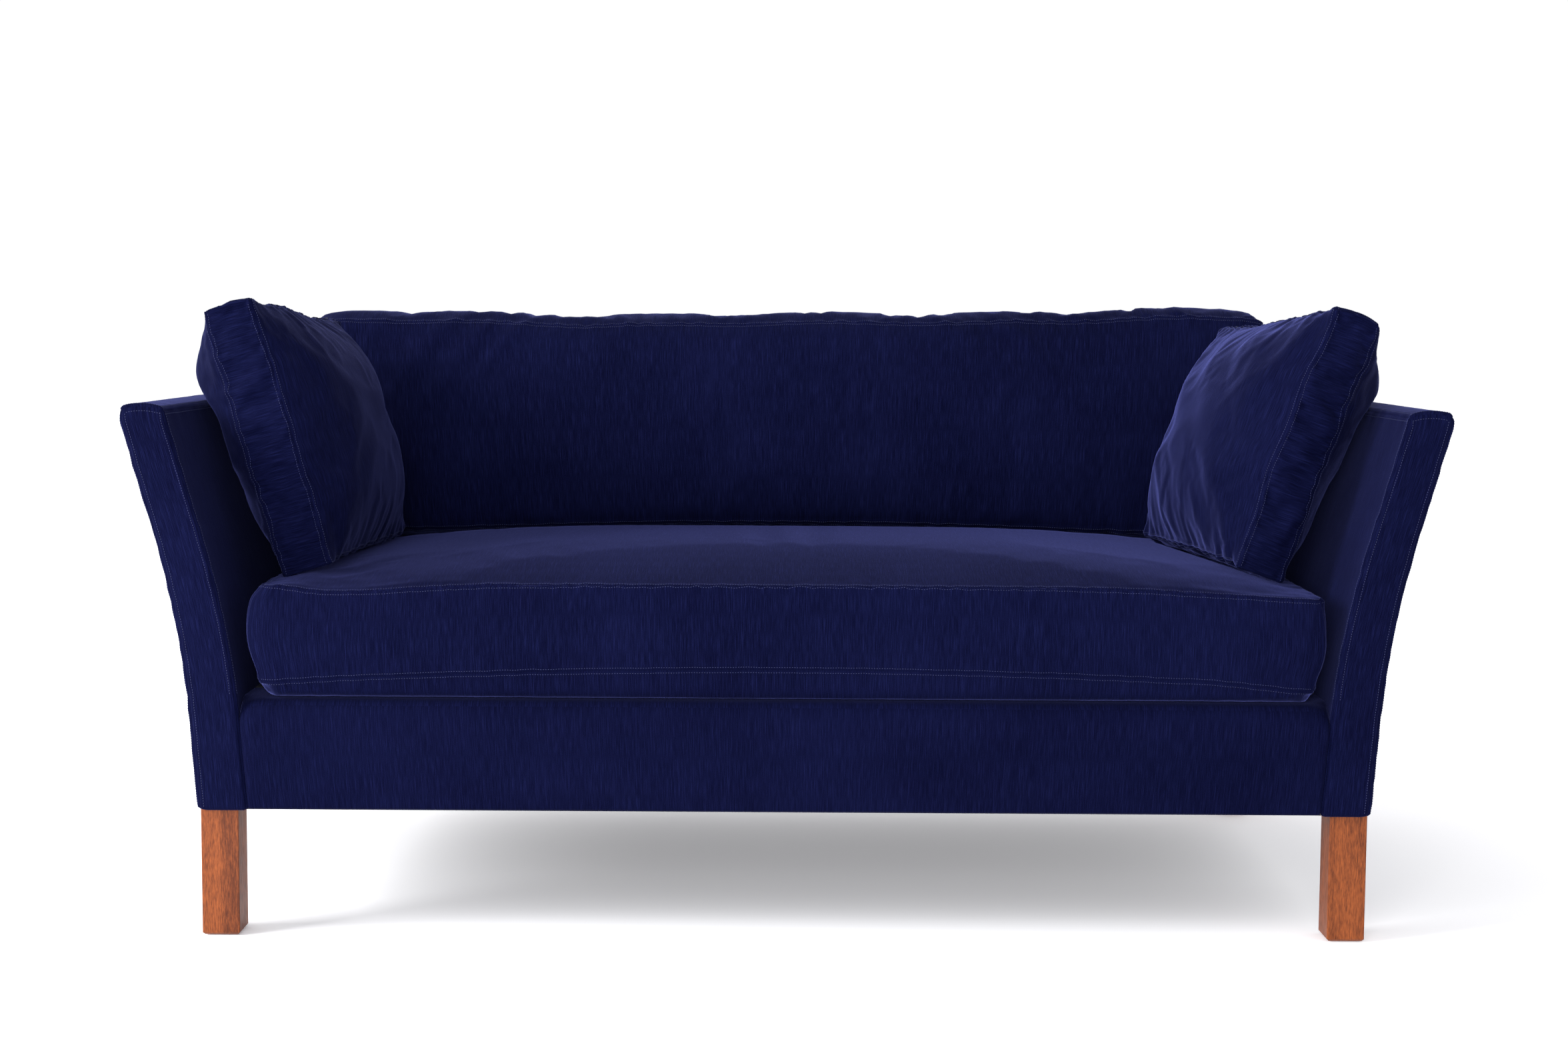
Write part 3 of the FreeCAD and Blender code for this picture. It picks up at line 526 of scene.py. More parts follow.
def blow_up(cushions, frames=20):
    """Runs the cloth simulation on several skins at once and returns the new points of each."""
    pieces = []
    for name, block, points, seams, settings in cushions:
        piece, _, _ = plain_skin(name + "_blank", block, points)
        sewn = piece.vertex_groups.new(name="seam")
        for a, b in seams:
            sewn.add(np.intersect1d(block.grids[a], block.grids[b]).tolist(), 1.0, "REPLACE")
        cloth = piece.modifiers.new("Cloth", "CLOTH")
        for key, value in CLOTH.items():
            setattr(cloth.settings, key, value)
        cloth.settings.bending_stiffness = settings["bending"]
        cloth.settings.uniform_pressure_force = settings["pressure"]
        cloth.settings.shrink_min = -settings["slack"]
        cloth.settings.effector_weights.gravity = 0
        cloth.point_cache.frame_start = 1
        cloth.point_cache.frame_end = frames
        pieces.append(piece)
    for number in range(1, frames + 1):
        scene.frame_set(number)
    shapes = []
    ready = bpy.context.evaluated_depsgraph_get()
    for piece, (name, block, points, seams, settings) in zip(pieces, cushions):
        mesh = piece.evaluated_get(ready).to_mesh()
        found = np.empty(len(mesh.vertices) * 3)
        mesh.vertices.foreach_get("co", found)
        moved = found.reshape(-1, 3) - points
        folds = moved - blurred(moved, grid_edges(block), FOLD_ROUNDS)
        gain = np.full(len(points), settings["boxing"])
        for panel in {a for a, _ in seams}:
            gain[block.grids[panel]] = settings["panel"]
        folds *= gain[:, None]
        length = np.linalg.norm(folds, axis=1)
        scale = np.where(length > 1e-9, MOST_FOLD * np.tanh(length / MOST_FOLD) / np.maximum(length, 1e-9), 1)
        shapes.append(points + folds * scale[:, None])
        print(name, "folds up to", round(float((length * scale).max()) * 1000, 1), "mm, mean",
              round(float((length * scale).mean()) * 1000, 2))
        bpy.data.objects.remove(piece)
    scene.frame_set(1)
    return shapes


def spline_weights(count, lines):
    """Weights that read a smooth curve through evenly spaced points at other places."""
    place = (lines + 1) / 2 * (count - 1)
    first = np.clip(np.floor(place).astype(int), 0, count - 2)
    t = place - first
    weights = np.zeros((len(lines), count))
    rows = np.arange(len(lines))
    parts = ((-t ** 3 + 2 * t ** 2 - t) / 2, (3 * t ** 3 - 5 * t ** 2 + 2) / 2,
             (-3 * t ** 3 + 4 * t ** 2 + t) / 2, (t ** 3 - t ** 2) / 2)
    for offset, part in zip((-1, 0, 1, 2), parts):
        at = first + offset
        for edge, inside, beyond in ((0, 1, at < 0), (count - 1, count - 2, at > count - 1)):
            np.add.at(weights, (rows[beyond], edge), 2 * part[beyond])
            np.add.at(weights, (rows[beyond], inside), -part[beyond])
        within = (at >= 0) & (at < count)
        np.add.at(weights, (rows[within], at[within]), part[within])
    return weights


def refine(coarse, points, fine):
    found = np.zeros((len(fine.parameters), 3))
    for side, (_, _, p, q, _) in SIDES.items():
        across = spline_weights(coarse.counts[p], fine.lines[p])
        up = spline_weights(coarse.counts[q], fine.lines[q])
        grid = points[coarse.grids[side]]
        found[fine.grids[side]] = np.einsum("ai,ijk,bj->abk", across, grid, up, optimize=True)
    return found


def keep_inside(points, node_name, margin, upward=0.0, outward=0.0):
    """Pulls points that lie too far outside a solid CAD node back towards it.

    The top may stand a little further out, and so may the sides that bulge over the arms."""
    mesh = frame["nodes"][node_name].data
    solid = BVHTree.FromPolygons([v.co for v in mesh.vertices], [tuple(p.vertices) for p in mesh.polygons])
    kept = points.copy()
    count = 0
    for i, point in enumerate(points):
        place, normal, _, gap = solid.find_nearest(Vector(point))
        allowed = margin + upward * max(normal.z, 0)
        if outward and point[0] * normal.x > 0:
            allowed += outward * abs(normal.x) * float(smooth(point[2], 0.675, 0.735))
        if gap > allowed and (Vector(point) - place).dot(normal) > 0:
            kept[i] = np.array(place + (Vector(point) - place).normalized() * allowed)
            count += 1
    print(node_name, "kept in:", count, "points of", len(points))
    return kept


# %% [markdown]
# ## Seams and stitches
# Every seam of this sofa is felled: the edges are folded to one side and sewn down, which makes a flat raised band
# with a fine groove at the join and a row of stitches on each side of it. The band, the groove and the small
# puckers that the thread draws are part of the mesh. The stitches are small grains of thread laid along the rows.

# %% Relief beside a seam
def turned(grid, axis, sign):
    """The grid with one of its edges as its first row."""
    rows = grid if axis == 0 else np.swapaxes(grid, 0, 1)
    return rows if sign < 0 else rows[::-1]


def lengths_from_edge(rows):
    steps = np.linalg.norm(np.diff(rows, axis=0), axis=2)
    return np.concatenate([np.zeros((1, rows.shape[1])), np.cumsum(steps, axis=0)])


def side_normals(grid, flip):
    normal = np.cross(np.gradient(grid, axis=0), np.gradient(grid, axis=1))
    normal /= np.maximum(np.linalg.norm(normal, axis=2, keepdims=True), 1e-12)
    return -normal if flip else normal


def seam_edges(side, seams):
    """The edges of a side that are seams, as (grid axis, sign, other side)."""
    _, _, p, q, _ = SIDES[side]
    for a, b in seams:
        if side not in (a, b):
            continue
        other = b if side == a else a
        axis, sign = SIDES[other][:2]
        yield (0 if axis == p else 1), sign, other


BAND_MARGIN, BAND_EDGE = 0.0022, 0.0006
ROW_WIDE, GROOVE_WIDE = 0.0009, 0.0011


def felled(distance, band, row):
    """Height of a felled seam at a distance from its join."""
    beyond = np.clip((distance - row - BAND_MARGIN) / BAND_EDGE, None, 500)
    raised = band / (1 + np.exp(beyond))
    sewn = -0.45 * band * np.exp(-((distance - row) / ROW_WIDE) ** 2)
    groove = -1.9 * band * np.exp(-(distance / GROOVE_WIDE) ** 2)
    return raised + sewn + groove


BOXING_GATHER = 1.5
CREASE_PITCH = 0.026


def add_seams(block, points, seams, row, band, pucker, reach, mirror=False, seed=1, folds=0.0):
    """Moves the points beside the seams into felled bands and puckers. Folds are creases across the boxing."""
    moved = np.zeros_like(points)
    shares = np.zeros(len(points))
    panels = {panel for panel, _ in seams}
    for side, (_, _, _, _, flip) in SIDES.items():
        grid = block.grids[side]
        place = points[grid]
        normal = side_normals(place, flip != mirror)
        height = np.zeros(grid.shape)
        for axis, sign, other in seam_edges(side, seams):
            rows = turned(place, axis, sign)
            distance = lengths_from_edge(rows)
            along = lengths_from_edge(np.swapaxes(rows, 0, 1)).T
            pair = sorted((side, other))
            spot = seed * 97 + list(SIDES).index(pair[0]) * 7 + list(SIDES).index(pair[1])
            gather = crinkle(along, spot, 0.016, 0.06) + 0.6 * crinkle(along, spot + 31, 0.06, 0.2)
            drawn = pucker if side in panels else BOXING_GATHER * pucker
            amount = felled(distance, band, row) + drawn * gather * np.exp(-distance / reach)
            if folds and side not in panels:
                skewed = along + 0.006 * crinkle(distance, spot + 5, 0.05, 0.12)
                fading = np.exp(-distance / 0.030) * (1 - np.exp(-distance / 0.004))
                amount += folds * creases(skewed, spot + 9, CREASE_PITCH) * fading
            turned(height, axis, sign)[...] += amount
        moved[grid] += normal * height[..., None]
        shares[grid] += 1
    return points + moved / np.maximum(shares, 1)[:, None]


# %% Stitches
bpy.ops.mesh.primitive_ico_sphere_add(subdivisions=1, radius=1.0)
grain = bpy.context.object
STITCH_SIZE = np.array([0.00118, 0.00040, 0.00034])
STITCH_LIFT = 0.0002
STITCH_POINTS = coordinates_of(grain) * STITCH_SIZE
STITCH_FACES = np.array([tuple(face.vertices) for face in grain.data.polygons])
bpy.data.objects.remove(grain)
STITCH_PITCH = 0.0034


def stitch_row(block, points, side, axis, sign, row, mirror, trim):
    """Places, directions and normals of the stitches along one edge of a side."""
    flip = SIDES[side][4] != mirror
    place = points[block.grids[side]]
    normal = side_normals(place, flip)
    rows, normals = turned(place, axis, sign), turned(normal, axis, sign)
    distance = lengths_from_edge(rows)
    at_row = lambda table: np.array([[np.interp(row, distance[:, j], table[:, j, k]) for k in range(3)]
                                     for j in range(table.shape[1])])
    line, lean = at_row(rows), at_row(normals)
    run = np.concatenate([[0], np.cumsum(np.linalg.norm(np.diff(line, axis=0), axis=1))])
    spots = np.arange(trim[0] * run[-1] + row, run[-1] * trim[1] - row, STITCH_PITCH)
    read = lambda table, at: np.stack([np.interp(at, run, table[:, k]) for k in range(3)], axis=1)
    centre = read(line, spots)
    ahead = read(line, spots + 0.001) - read(line, spots - 0.001)
    up = read(lean, spots)
    return centre, ahead, up


def sew(name, block, points, seams, row, body, mirror=False, trims=None):
    """One mesh with all the stitches of a piece, on both sides of each seam.

    Trims says between which shares of its length an edge is sewn, where that isn't all of it."""
    centres, aheads, ups = [], [], []
    for side in SIDES:
        for axis, sign, other in seam_edges(side, seams):
            trim = (trims or {}).get((side, other), (0.0, 1.0))
            centre, ahead, up = stitch_row(block, points, side, axis, sign, row, mirror, trim)
            centres.append(centre)
            aheads.append(ahead)
            ups.append(up)
    centre, ahead, up = np.concatenate(centres), np.concatenate(aheads), np.concatenate(ups)
    ahead /= np.linalg.norm(ahead, axis=1, keepdims=True)
    across = np.cross(up, ahead)
    across /= np.linalg.norm(across, axis=1, keepdims=True)
    up = np.cross(ahead, across)
    shape = STITCH_POINTS[None]
    grains = (centre[:, None] + shape[..., 0:1] * ahead[:, None] + shape[..., 1:2] * across[:, None]
              + (shape[..., 2:3] + STITCH_LIFT) * up[:, None])
    faces = STITCH_FACES[None] + (np.arange(len(centre)) * len(STITCH_POINTS))[:, None, None]
    mesh = bpy.data.meshes.new(name)
    mesh.from_pydata(grains.reshape(-1, 3).tolist(), [], faces.reshape(-1, 3).tolist())
    mesh.shade_smooth()
    mesh.materials.append(navy_thread)
    thread = bpy.data.objects.new(name, mesh)
    scene.collection.objects.link(thread)
    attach(thread, body)
    print(name, len(centre), "stitches")
    return thread


# %% The finished skin
def upholster(name, block, points, nap, body, nodes, mirror=False, cloths=None):
    """The final skin of a padded piece, with its cloth laid so that the pile's streaks run the right way.

    Cloths gives a side another copy of the velvet, darker for painted shade and paler for painted sheen."""
    piece, quads, sides = plain_skin(name, block, points, mirror)
    mesh = piece.data
    laid = mesh.uv_layers.new(name="cloth")
    spots = np.zeros((len(quads), 4, 2))
    start = 0
    for number, (side, (_, _, _, _, flip)) in enumerate(SIDES.items()):
        place = points[block.grids[side]]
        across = lengths_from_edge(place).mean(axis=1)
        up = lengths_from_edge(np.swapaxes(place, 0, 1)).mean(axis=1)
        u, v = np.meshgrid(across, up, indexing="ij")
        if nap[side] == 0:
            u, v = v, u
        cloth = np.stack([u + 3.1 * number, v + 1.7 * number], axis=-1)
        found = quad_corners(cloth, flip != mirror)
        spots[start:start + len(found)] = found
        start += len(found)
    laid.data.foreach_set("uv", spots.ravel())
    mesh.shade_smooth()
    mesh.materials.append(navy_velvet)
    for side, cloth in (cloths or {}).items():
        mesh.materials.append(cloth)
        on_side = np.flatnonzero(sides == list(SIDES).index(side))
        for number in on_side.tolist():
            mesh.polygons[number].material_index = len(mesh.materials) - 1
    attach(piece, body)
    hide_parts(*nodes)
    print(name, len(quads), "quads")
    return piece


LENGTHWAYS = dict.fromkeys(SIDES, 1)
ALL_SIDES = ("front", "rear", "left", "right")
PANEL_SEAMS = [(panel, side) for panel in ("top", "bottom") for side in ALL_SIDES]
FACE_SEAMS = [(panel, side) for panel in ("front", "rear") for side in ("left", "right", "top", "bottom")]
FLANK_SEAMS = [(panel, side) for panel in ("left", "right") for side in ("front", "rear", "top", "bottom")]

# %% [markdown]
# ## The seat cushion
# It is one long box cushion: a crowned panel on top, another below, and a strip of boxing between them.
# The ends of the top seam hang a little, because the side cushions press on them, and the underside curves in
# from the lower seam to where it lies flat on the platform.

# %% Seat cushion shape
SEAT_X, SEAT_FRONT, SEAT_REAR, SEAT_FLAT = 0.7125, -0.4415, 0.2925, 0.3222
SEAT_TOP_SEAM, SEAT_LOW_SEAM = 0.4795, 0.364
SEAT_CORNER, SEAT_CROWN, SEAT_HANG = 0.026, 0.037, 0.075


def seat_shape(p):
    a, b, c = p.T
    box = np.stack([a * SEAT_X, (SEAT_FRONT + SEAT_REAR) / 2 + b * (SEAT_REAR - SEAT_FRONT) / 2, c], axis=1)
    corners = (SEAT_CORNER, SEAT_CORNER)
    box = soften(box, (-SEAT_X, SEAT_FRONT, -50), (SEAT_X, SEAT_REAR, 50), (corners, corners, (0, 0)))
    x, y = box[:, 0], box[:, 1]
    front = 1 - smooth(y, -0.44, 0.0)
    pressed = np.exp(-((x + 0.56) / 0.10) ** 2) * 0.004 + np.exp(-((x - 0.66) / 0.12) ** 2) * 0.003
    top = SEAT_TOP_SEAM - 0.0115 * (np.abs(x) / 0.6) ** 2 - pressed * front + 0.010 * smooth(-x, 0.60, 0.69) * front
    low = SEAT_LOW_SEAM - 0.015 * (np.abs(x) / 0.6) ** 2 - 0.005 * smooth(x, 0.55, 0.7) * front
    crown = (1 - np.abs(a) ** 3.2) ** 0.9 * (1 - np.abs(b) ** 2.6) ** 0.62
    hang = (1 - np.abs(a) ** 8) ** 0.6 * (1 - np.abs(b) ** 9) ** 0.5
    is_top, is_bottom = c > 0.999, c < -0.999
    z = low + (c + 1) / 2 * (top - low)
    z = np.where(is_top, top + SEAT_CROWN * crown, z)
    z = np.where(is_bottom, np.maximum(low - SEAT_HANG * hang, SEAT_FLAT), z)
    full = 0.0065 * (1 - c ** 2)
    y = y + np.where(np.abs(b) > 0.999, np.sign(b) * full * np.where(b > 0, 0.5, 1.0), 0)
    x = x + np.where(np.abs(a) > 0.999, np.sign(a) * full, 0)
    turn = np.clip((c - 0.3) / 0.7, 0, 1)
    left_corner = 0.017 * quarter(turn) * smooth(-a, 0.92, 1.0) * front
    x = x + left_corner - np.sign(a) * 0.008 * smooth(-c, 0.0, 1.0) * smooth(np.abs(a), 0.8, 1.0)
    return np.stack([x + 0.002, y, z], axis=1)


# %% [markdown]
# ## The back cushion
# It leans against the inside back and widens upwards, as the arms do. Its boxing is deep, and its top seam wavers,
# because fibre filling settles unevenly. The right-hand end stands a little higher than the left.

# %% Back cushion shape
RAKE = Matrix.Rotation(math.radians(-10), 3, "X")
BACK_AT = Vector((0, 0.150, 0.499))
BACK_X, BACK_LOW, BACK_HIGH, BACK_FRONT, BACK_REAR = 0.75, 0.012, 0.340, 0.030, 0.150
BACK_CORNER, BACK_TOP_CORNER = 0.034, 0.026
BACK_CROWN, BACK_REAR_CROWN = 0.040, 0.020
# Where each drape hangs from, how wide it is and how far it stands out.
DRAPES = ((-0.425, 0.011, 0.0045), (-0.475, 0.014, 0.0035), (-0.545, 0.018, 0.0030), (0.36, 0.02, 0.002))


def placed(points, rotation, at):
    return points @ np.array(rotation).T + np.array(at)


def back_shape(p):
    a, b, c = p.T
    box = np.stack([a * BACK_X, BACK_FRONT + (b + 1) / 2 * (BACK_REAR - BACK_FRONT),
                    BACK_LOW + (c + 1) / 2 * (BACK_HIGH - BACK_LOW)], axis=1)
    box = soften(box, (-BACK_X, -50, BACK_LOW), (BACK_X, 50, BACK_HIGH),
                 ((BACK_CORNER, BACK_CORNER), (0, 0), (BACK_CORNER, BACK_TOP_CORNER)))
    x, y, z = box.T
    share = (z - BACK_LOW) / (BACK_HIGH - BACK_LOW)
    x = x * (0.732 + 0.038 * share) / BACK_X
    settled = 0.003 * np.sin(x * 9 + 1.0) + 0.002 * np.sin(x * 23)
    z = z + smooth(share, 0.5, 1.0) * (settled + 0.013 * smooth(x, 0.05, 0.6) - 0.004)
    z = z - (1 - smooth(share, 0.0, 0.4)) * 0.014 * smooth(np.abs(x), 0.1, 0.7)
    crown = (1 - np.abs(a) ** 5) ** 0.7 * (1 - np.abs(c) ** 2.4) ** 0.7
    y = y + np.where(b < -0.999, -BACK_CROWN * crown, 0) + np.where(b > 0.999, BACK_REAR_CROWN * crown, 0)
    z = z - 0.005 * (1 - 2 * b) / 2 * smooth(share, 0.5, 1.0)
    for at, wide, deep in DRAPES:
        slant = 0.20 * (1 - share) * np.sign(-at)
        drape = np.exp(-((x - at + slant) / wide) ** 2) * smooth(share, 0.5, 0.95)
        y = y - np.where(b < -0.999, deep * drape, 0)
    full = 0.010 * (1 - b ** 2)
    top_full = 0.021 * (1 - np.abs(b) ** 2.6) * (1 - np.abs(a) ** 30)
    z = z + np.where(c > 0.999, top_full, 0) - np.where(c < -0.999, full, 0)
    x = x + np.where(np.abs(a) > 0.999, np.sign(a) * 0.6 * full, 0)
    return placed(np.stack([x, y, z], axis=1), RAKE, BACK_AT)


# %% [markdown]
# ## The side cushions
# The two side cushions are square and lean outwards against the arms. Their sides pull in between the corners,
# and their boxing is crinkled from end to end, because it is cut a little long for the seams.

# %% Side cushion shape
SIDE_SETS = {
    "left": (16.5, -4.0, Vector((-0.652, -0.332, 0.480))),
    "right": (-20.5, 8.0, Vector((0.646, -0.332, 0.482))),
}
SIDE_HIGH, SIDE_DEEP, SIDE_HALF_BOXING = 0.378, 0.450, 0.033
SIDE_IN_Y, SIDE_IN_Z = 0.002, 0.003
SIDE_CROWN, OVER_ARM, SIDE_SAG = 0.063, 0.42, 0.025


def side_shape(p, side):
    a, b, c = p.T
    pull_y = np.where(b < 0, 0.030 * (1 - c ** 2), 0)
    y = SIDE_DEEP / 2 + b * (SIDE_DEEP / 2 - SIDE_IN_Y) * (1 - pull_y)
    z = SIDE_HIGH / 2 + c * (SIDE_HIGH / 2 - SIDE_IN_Z) * (1 - 0.035 * (1 - b ** 2))
    box = soften(np.stack([a * SIDE_HALF_BOXING, y, z], axis=1), (-50, SIDE_IN_Y, SIDE_IN_Z),
                 (50, SIDE_DEEP - SIDE_IN_Y, SIDE_HIGH - SIDE_IN_Z), ((0, 0), (0.010, 0.02), (0.010, 0.018)))
    x, y, z = box.T
    outward = -1 if side == "left" else 1
    full_top = np.where(a * outward > 0, smooth(c, 0.0, 0.6), 0)
    crown = (1 - np.abs(b) ** 3.0) ** 0.82 * (1 - np.abs(c) ** (2.8 + 1.8 * full_top)) ** 0.82
    over_arm = np.where(a * outward > 0, 1 + OVER_ARM * smooth(c, -0.3, 0.5) * smooth(-b, -0.6, 0.2), 1)
    x = x + np.where(np.abs(a) > 0.999, np.sign(a) * SIDE_CROWN * crown * over_arm, 0)
    x = x + 0.0026 * waves(np.stack([0 * x, y, z], axis=1), 0.12, 41 if side == "left" else 43)
    ear = smooth(np.abs(c), 0.86, 1.0) * smooth(-b, 0.86, 1.0)
    z = z + np.sign(c) * 0.005 * ear
    y = y - 0.004 * ear
    z = z - SIDE_SAG * smooth(c, -0.2, 1.0) * smooth(b, -0.5, 0.95) - 0.008 * smooth(c, 0, 1) * (1 - b ** 2)
    full = 0.004 * (1 - a ** 2)
    y = y + np.where(b > 0.999, full * 0.5, 0) - np.where(b < -0.999, full, 0)
    z = z + np.where(c > 0.999, full, 0) - np.where(c < -0.999, full * 0.5, 0)
    lean, yaw, at = SIDE_SETS[side]
    rotation = Matrix.Rotation(math.radians(yaw), 3, "Z") @ Matrix.Rotation(math.radians(-lean), 3, "Y")
    return placed(np.stack([x, y, z], axis=1), rotation, at)


# %% The cushions' table
CUSHION_ROW, CUSHION_BAND = 0.0042, 0.0008
CUSHIONS = {
    "seat_cushion": {
        "shape": seat_shape, "size": (1.414, 0.734, 0.108), "coarse": 0.013, "fine": 0.0085,
        # The underside gets the paler velvet copy, a painted sheen.
        "seams": PANEL_SEAMS, "nap": LENGTHWAYS, "cloths": {"bottom": painted_sheen_velvet}, "fill": 0.9,
        "cloth": {"pressure": 0.2, "bending": 0.3, "slack": 0.012, "panel": 0.30, "boxing": 0.35},
        "pucker": 0.0006, "reach": 0.025, "folds": 0.0, "margin": 0.0030, "upward": 0.0, "outward": 0.0,
        "cover": "seat_cushion_cover", "solid": "seat_cushion_core",
    },
    "back_cushion": {
        "shape": back_shape, "size": (1.52, 0.12, 0.32), "coarse": 0.012, "fine": 0.0085,
        "seams": FACE_SEAMS, "nap": LENGTHWAYS, "cloths": {}, "fill": 0.75,
        "cloth": {"pressure": 0.2, "bending": 0.2, "slack": 0.02, "panel": 0.45, "boxing": 0.8},
        "pucker": 0.0009, "reach": 0.035, "folds": 0.0010, "margin": 0.0032, "upward": 0.012, "outward": 0.0,
        "cover": "back_cushion_cover", "solid": "back_cushion_filling",
    },
}
for side in SIDE_SETS:
    CUSHIONS[f"{side}_side_cushion"] = {
        "shape": lambda p, side=side: side_shape(p, side), "size": (0.068, 0.450, 0.378), "coarse": 0.0095,
        "fine": 0.0050, "seams": FLANK_SEAMS, "nap": dict(dict.fromkeys(SIDES, 0), left=1, right=1),
        # The right cushion's inner face gets the paler velvet copy, a painted sheen.
        "cloths": {"left": painted_sheen_velvet} if side == "right" else {}, "fill": 0.8,
        "cloth": {"pressure": 0.1, "bending": 0.05, "slack": 0.035, "panel": 0.45, "boxing": 1.2},
        "pucker": 0.0011, "reach": 0.032, "folds": 0.0030, "margin": 0.0032, "upward": 0.004, "outward": 0.013,
        "cover": f"{side}_side_cushion_cover", "solid": f"{side}_side_cushion_filling",
    }
print("cushions:", ", ".join(CUSHIONS))

# %% Make the four cushions
blanks = {}
for name, plan in CUSHIONS.items():
    coarse = Block([even_lines(size, plan["coarse"]) for size in plan["size"]])
    blanks[name] = (coarse, plan["shape"](coarse.parameters))
    print(name, "blank points:", len(coarse.parameters))
jobs = [(name, *blanks[name], plan["seams"], plan["cloth"]) for name, plan in CUSHIONS.items()]
for (name, (coarse, _)), shape in zip(list(blanks.items()), blow_up(jobs)):
    blanks[name] = (coarse, shape)

for number, (name, plan) in enumerate(CUSHIONS.items()):
    coarse, shape = blanks[name]
    fine = Block([seam_lines(size, plan["fine"]) for size in plan["size"]])
    points = refine(coarse, shape, fine)
    points = keep_inside(points, plan["solid"], plan["margin"], plan["upward"], plan["outward"])
    points = add_seams(fine, points, plan["seams"], CUSHION_ROW, CUSHION_BAND, plan["pucker"], plan["reach"],
                       seed=number + 3, folds=plan["folds"])
    if name == "seat_cushion":
        points[:, 2] = np.maximum(points[:, 2], SEAT_FLAT - 0.0003)
    upholster(name, fine, points, plan["nap"], name, (plan["cover"], plan["solid"]),
              cloths=plan["cloths"])
    sew(name + "_stitches", fine, points, plan["seams"], CUSHION_ROW, name)

# %% [markdown]
# ## The arms
# An arm is a slim padded wall that bends outwards. It has a flat panel on its front, a narrow crowned strip on top,
# and a long sleeve on both sides. The same two curves as in the frame give its sides.

# %% The flare
HEM = 0.171
ARM_SEAM = 0.702


def flare(z, x_hem, slope_low, slope_high):
    """How far out a side of the arm stands at height z."""
    start, end = 0.290, 0.545
    t = np.clip(z, start, end) - start
    bend = (slope_high - slope_low) * t ** 2 / (2 * (end - start))
    return x_hem + slope_low * (z - HEM) + bend + (slope_high - slope_low) * np.maximum(z - end, 0)


def arm_inner(z):
    return flare(z, 0.713, 0.085, 0.29)


def arm_outer(z):
    return flare(z, 0.780, 0.075, 0.28)


# How far the outside back's sheet stands behind the arms and the inside back.
SHEET = 0.004


def outside_back(z):
    return 0.428 + (0.450 - 0.428) / (0.748 - HEM) * (z - HEM)


def inside_back(z):
    return 0.305 + 0.167 * (z - 0.320)


# %% Make the arms
THICK = 0.064
ARM_REAR = 0.440
ARM_ROW, ARM_BAND = 0.0058, 0.0006
ARM_SEAMS = [("front", "left"), ("front", "right"), ("front", "top"), ("top", "left"), ("top", "right"),
             ("rear", "left"), ("rear", "right"), ("rear", "top")]


def arm_shape(p):
    a, b, c = p.T
    box = np.stack([(a + 1) / 2 * THICK, FRONT_Y + (b + 1) / 2 * (ARM_REAR - FRONT_Y),
                    HEM + (c + 1) / 2 * (ARM_SEAM - HEM)], axis=1)
    box = soften(box, (0, FRONT_Y, HEM), (THICK, ARM_REAR, ARM_SEAM),
                 ((0.007, 0.014), (0.005, 0.003), (0.006, 0.014)))
    s, y, z = box.T
    y = FRONT_Y + (y - FRONT_Y) / (ARM_REAR - FRONT_Y) * (outside_back(z) - SHEET - FRONT_Y)
    inner, outer = arm_inner(z), arm_outer(z)
    x = inner + s / THICK * (outer - inner)
    crown = 1 - (2 * s / THICK - 1) ** 2
    z = z + (0.004 + 0.006 * crown) * np.where(c > 0.999, 1, smooth(z, 0.690, 0.702))
    points = np.stack([x, y, z], axis=1)
    soft = 0.0009 * waves(points, 0.34, 5) + 0.0004 * waves(points, 0.11, 8)
    panel = b < -0.999
    points[:, 1] -= np.where(panel, 0.0022 * crown * (1 - np.abs(c) ** 8) + 0.0004 * waves(points, 0.15, 9), 0)
    points[:, 0] += np.where(np.abs(a) > 0.999, np.sign(a) * soft * (1 - np.abs(b) ** 30), 0)
    return points


for side, mirror in (("left", True), ("right", False)):
    block = Block([seam_lines(THICK, 0.008), seam_lines(0.885, 0.012), seam_lines(0.53, 0.009)])
    points = arm_shape(block.parameters)
    if mirror:
        points = points * np.array([-1, 1, 1])
    points = add_seams(block, points, ARM_SEAMS, ARM_ROW, ARM_BAND, 0.00035, 0.02, mirror, seed=21 + mirror)
    name = f"{side}_arm"
    nodes = (f"{side}_arm_cover", f"{side}_arm_front_panel", f"{side}_arm_padding")
    # The left arm's inner side gets the darker velvet copy, a painted shade.
    upholster(name, block, points, LENGTHWAYS, "frame", nodes, mirror, {"left": painted_shade_velvet} if mirror else {})
    sew(name + "_stitches", block, points, ARM_SEAMS, ARM_ROW, "frame", mirror,
        trims={("left", "front"): (0.28, 1.0), ("front", "left"): (0.28, 1.0)})

# %% [markdown]
# ## The front border, the inside back and the outside back
# The border is a padded apron with a round top edge between the arms. The inside back is a padded slope with a
# round top. The outside back is one smooth sheet, sewn to the arms' sleeves along their rear edges.

# %% Make the border
BORDER_TOP, BORDER_FRONT, BORDER_REAR = 0.3195, FRONT_Y - 0.001, -0.335


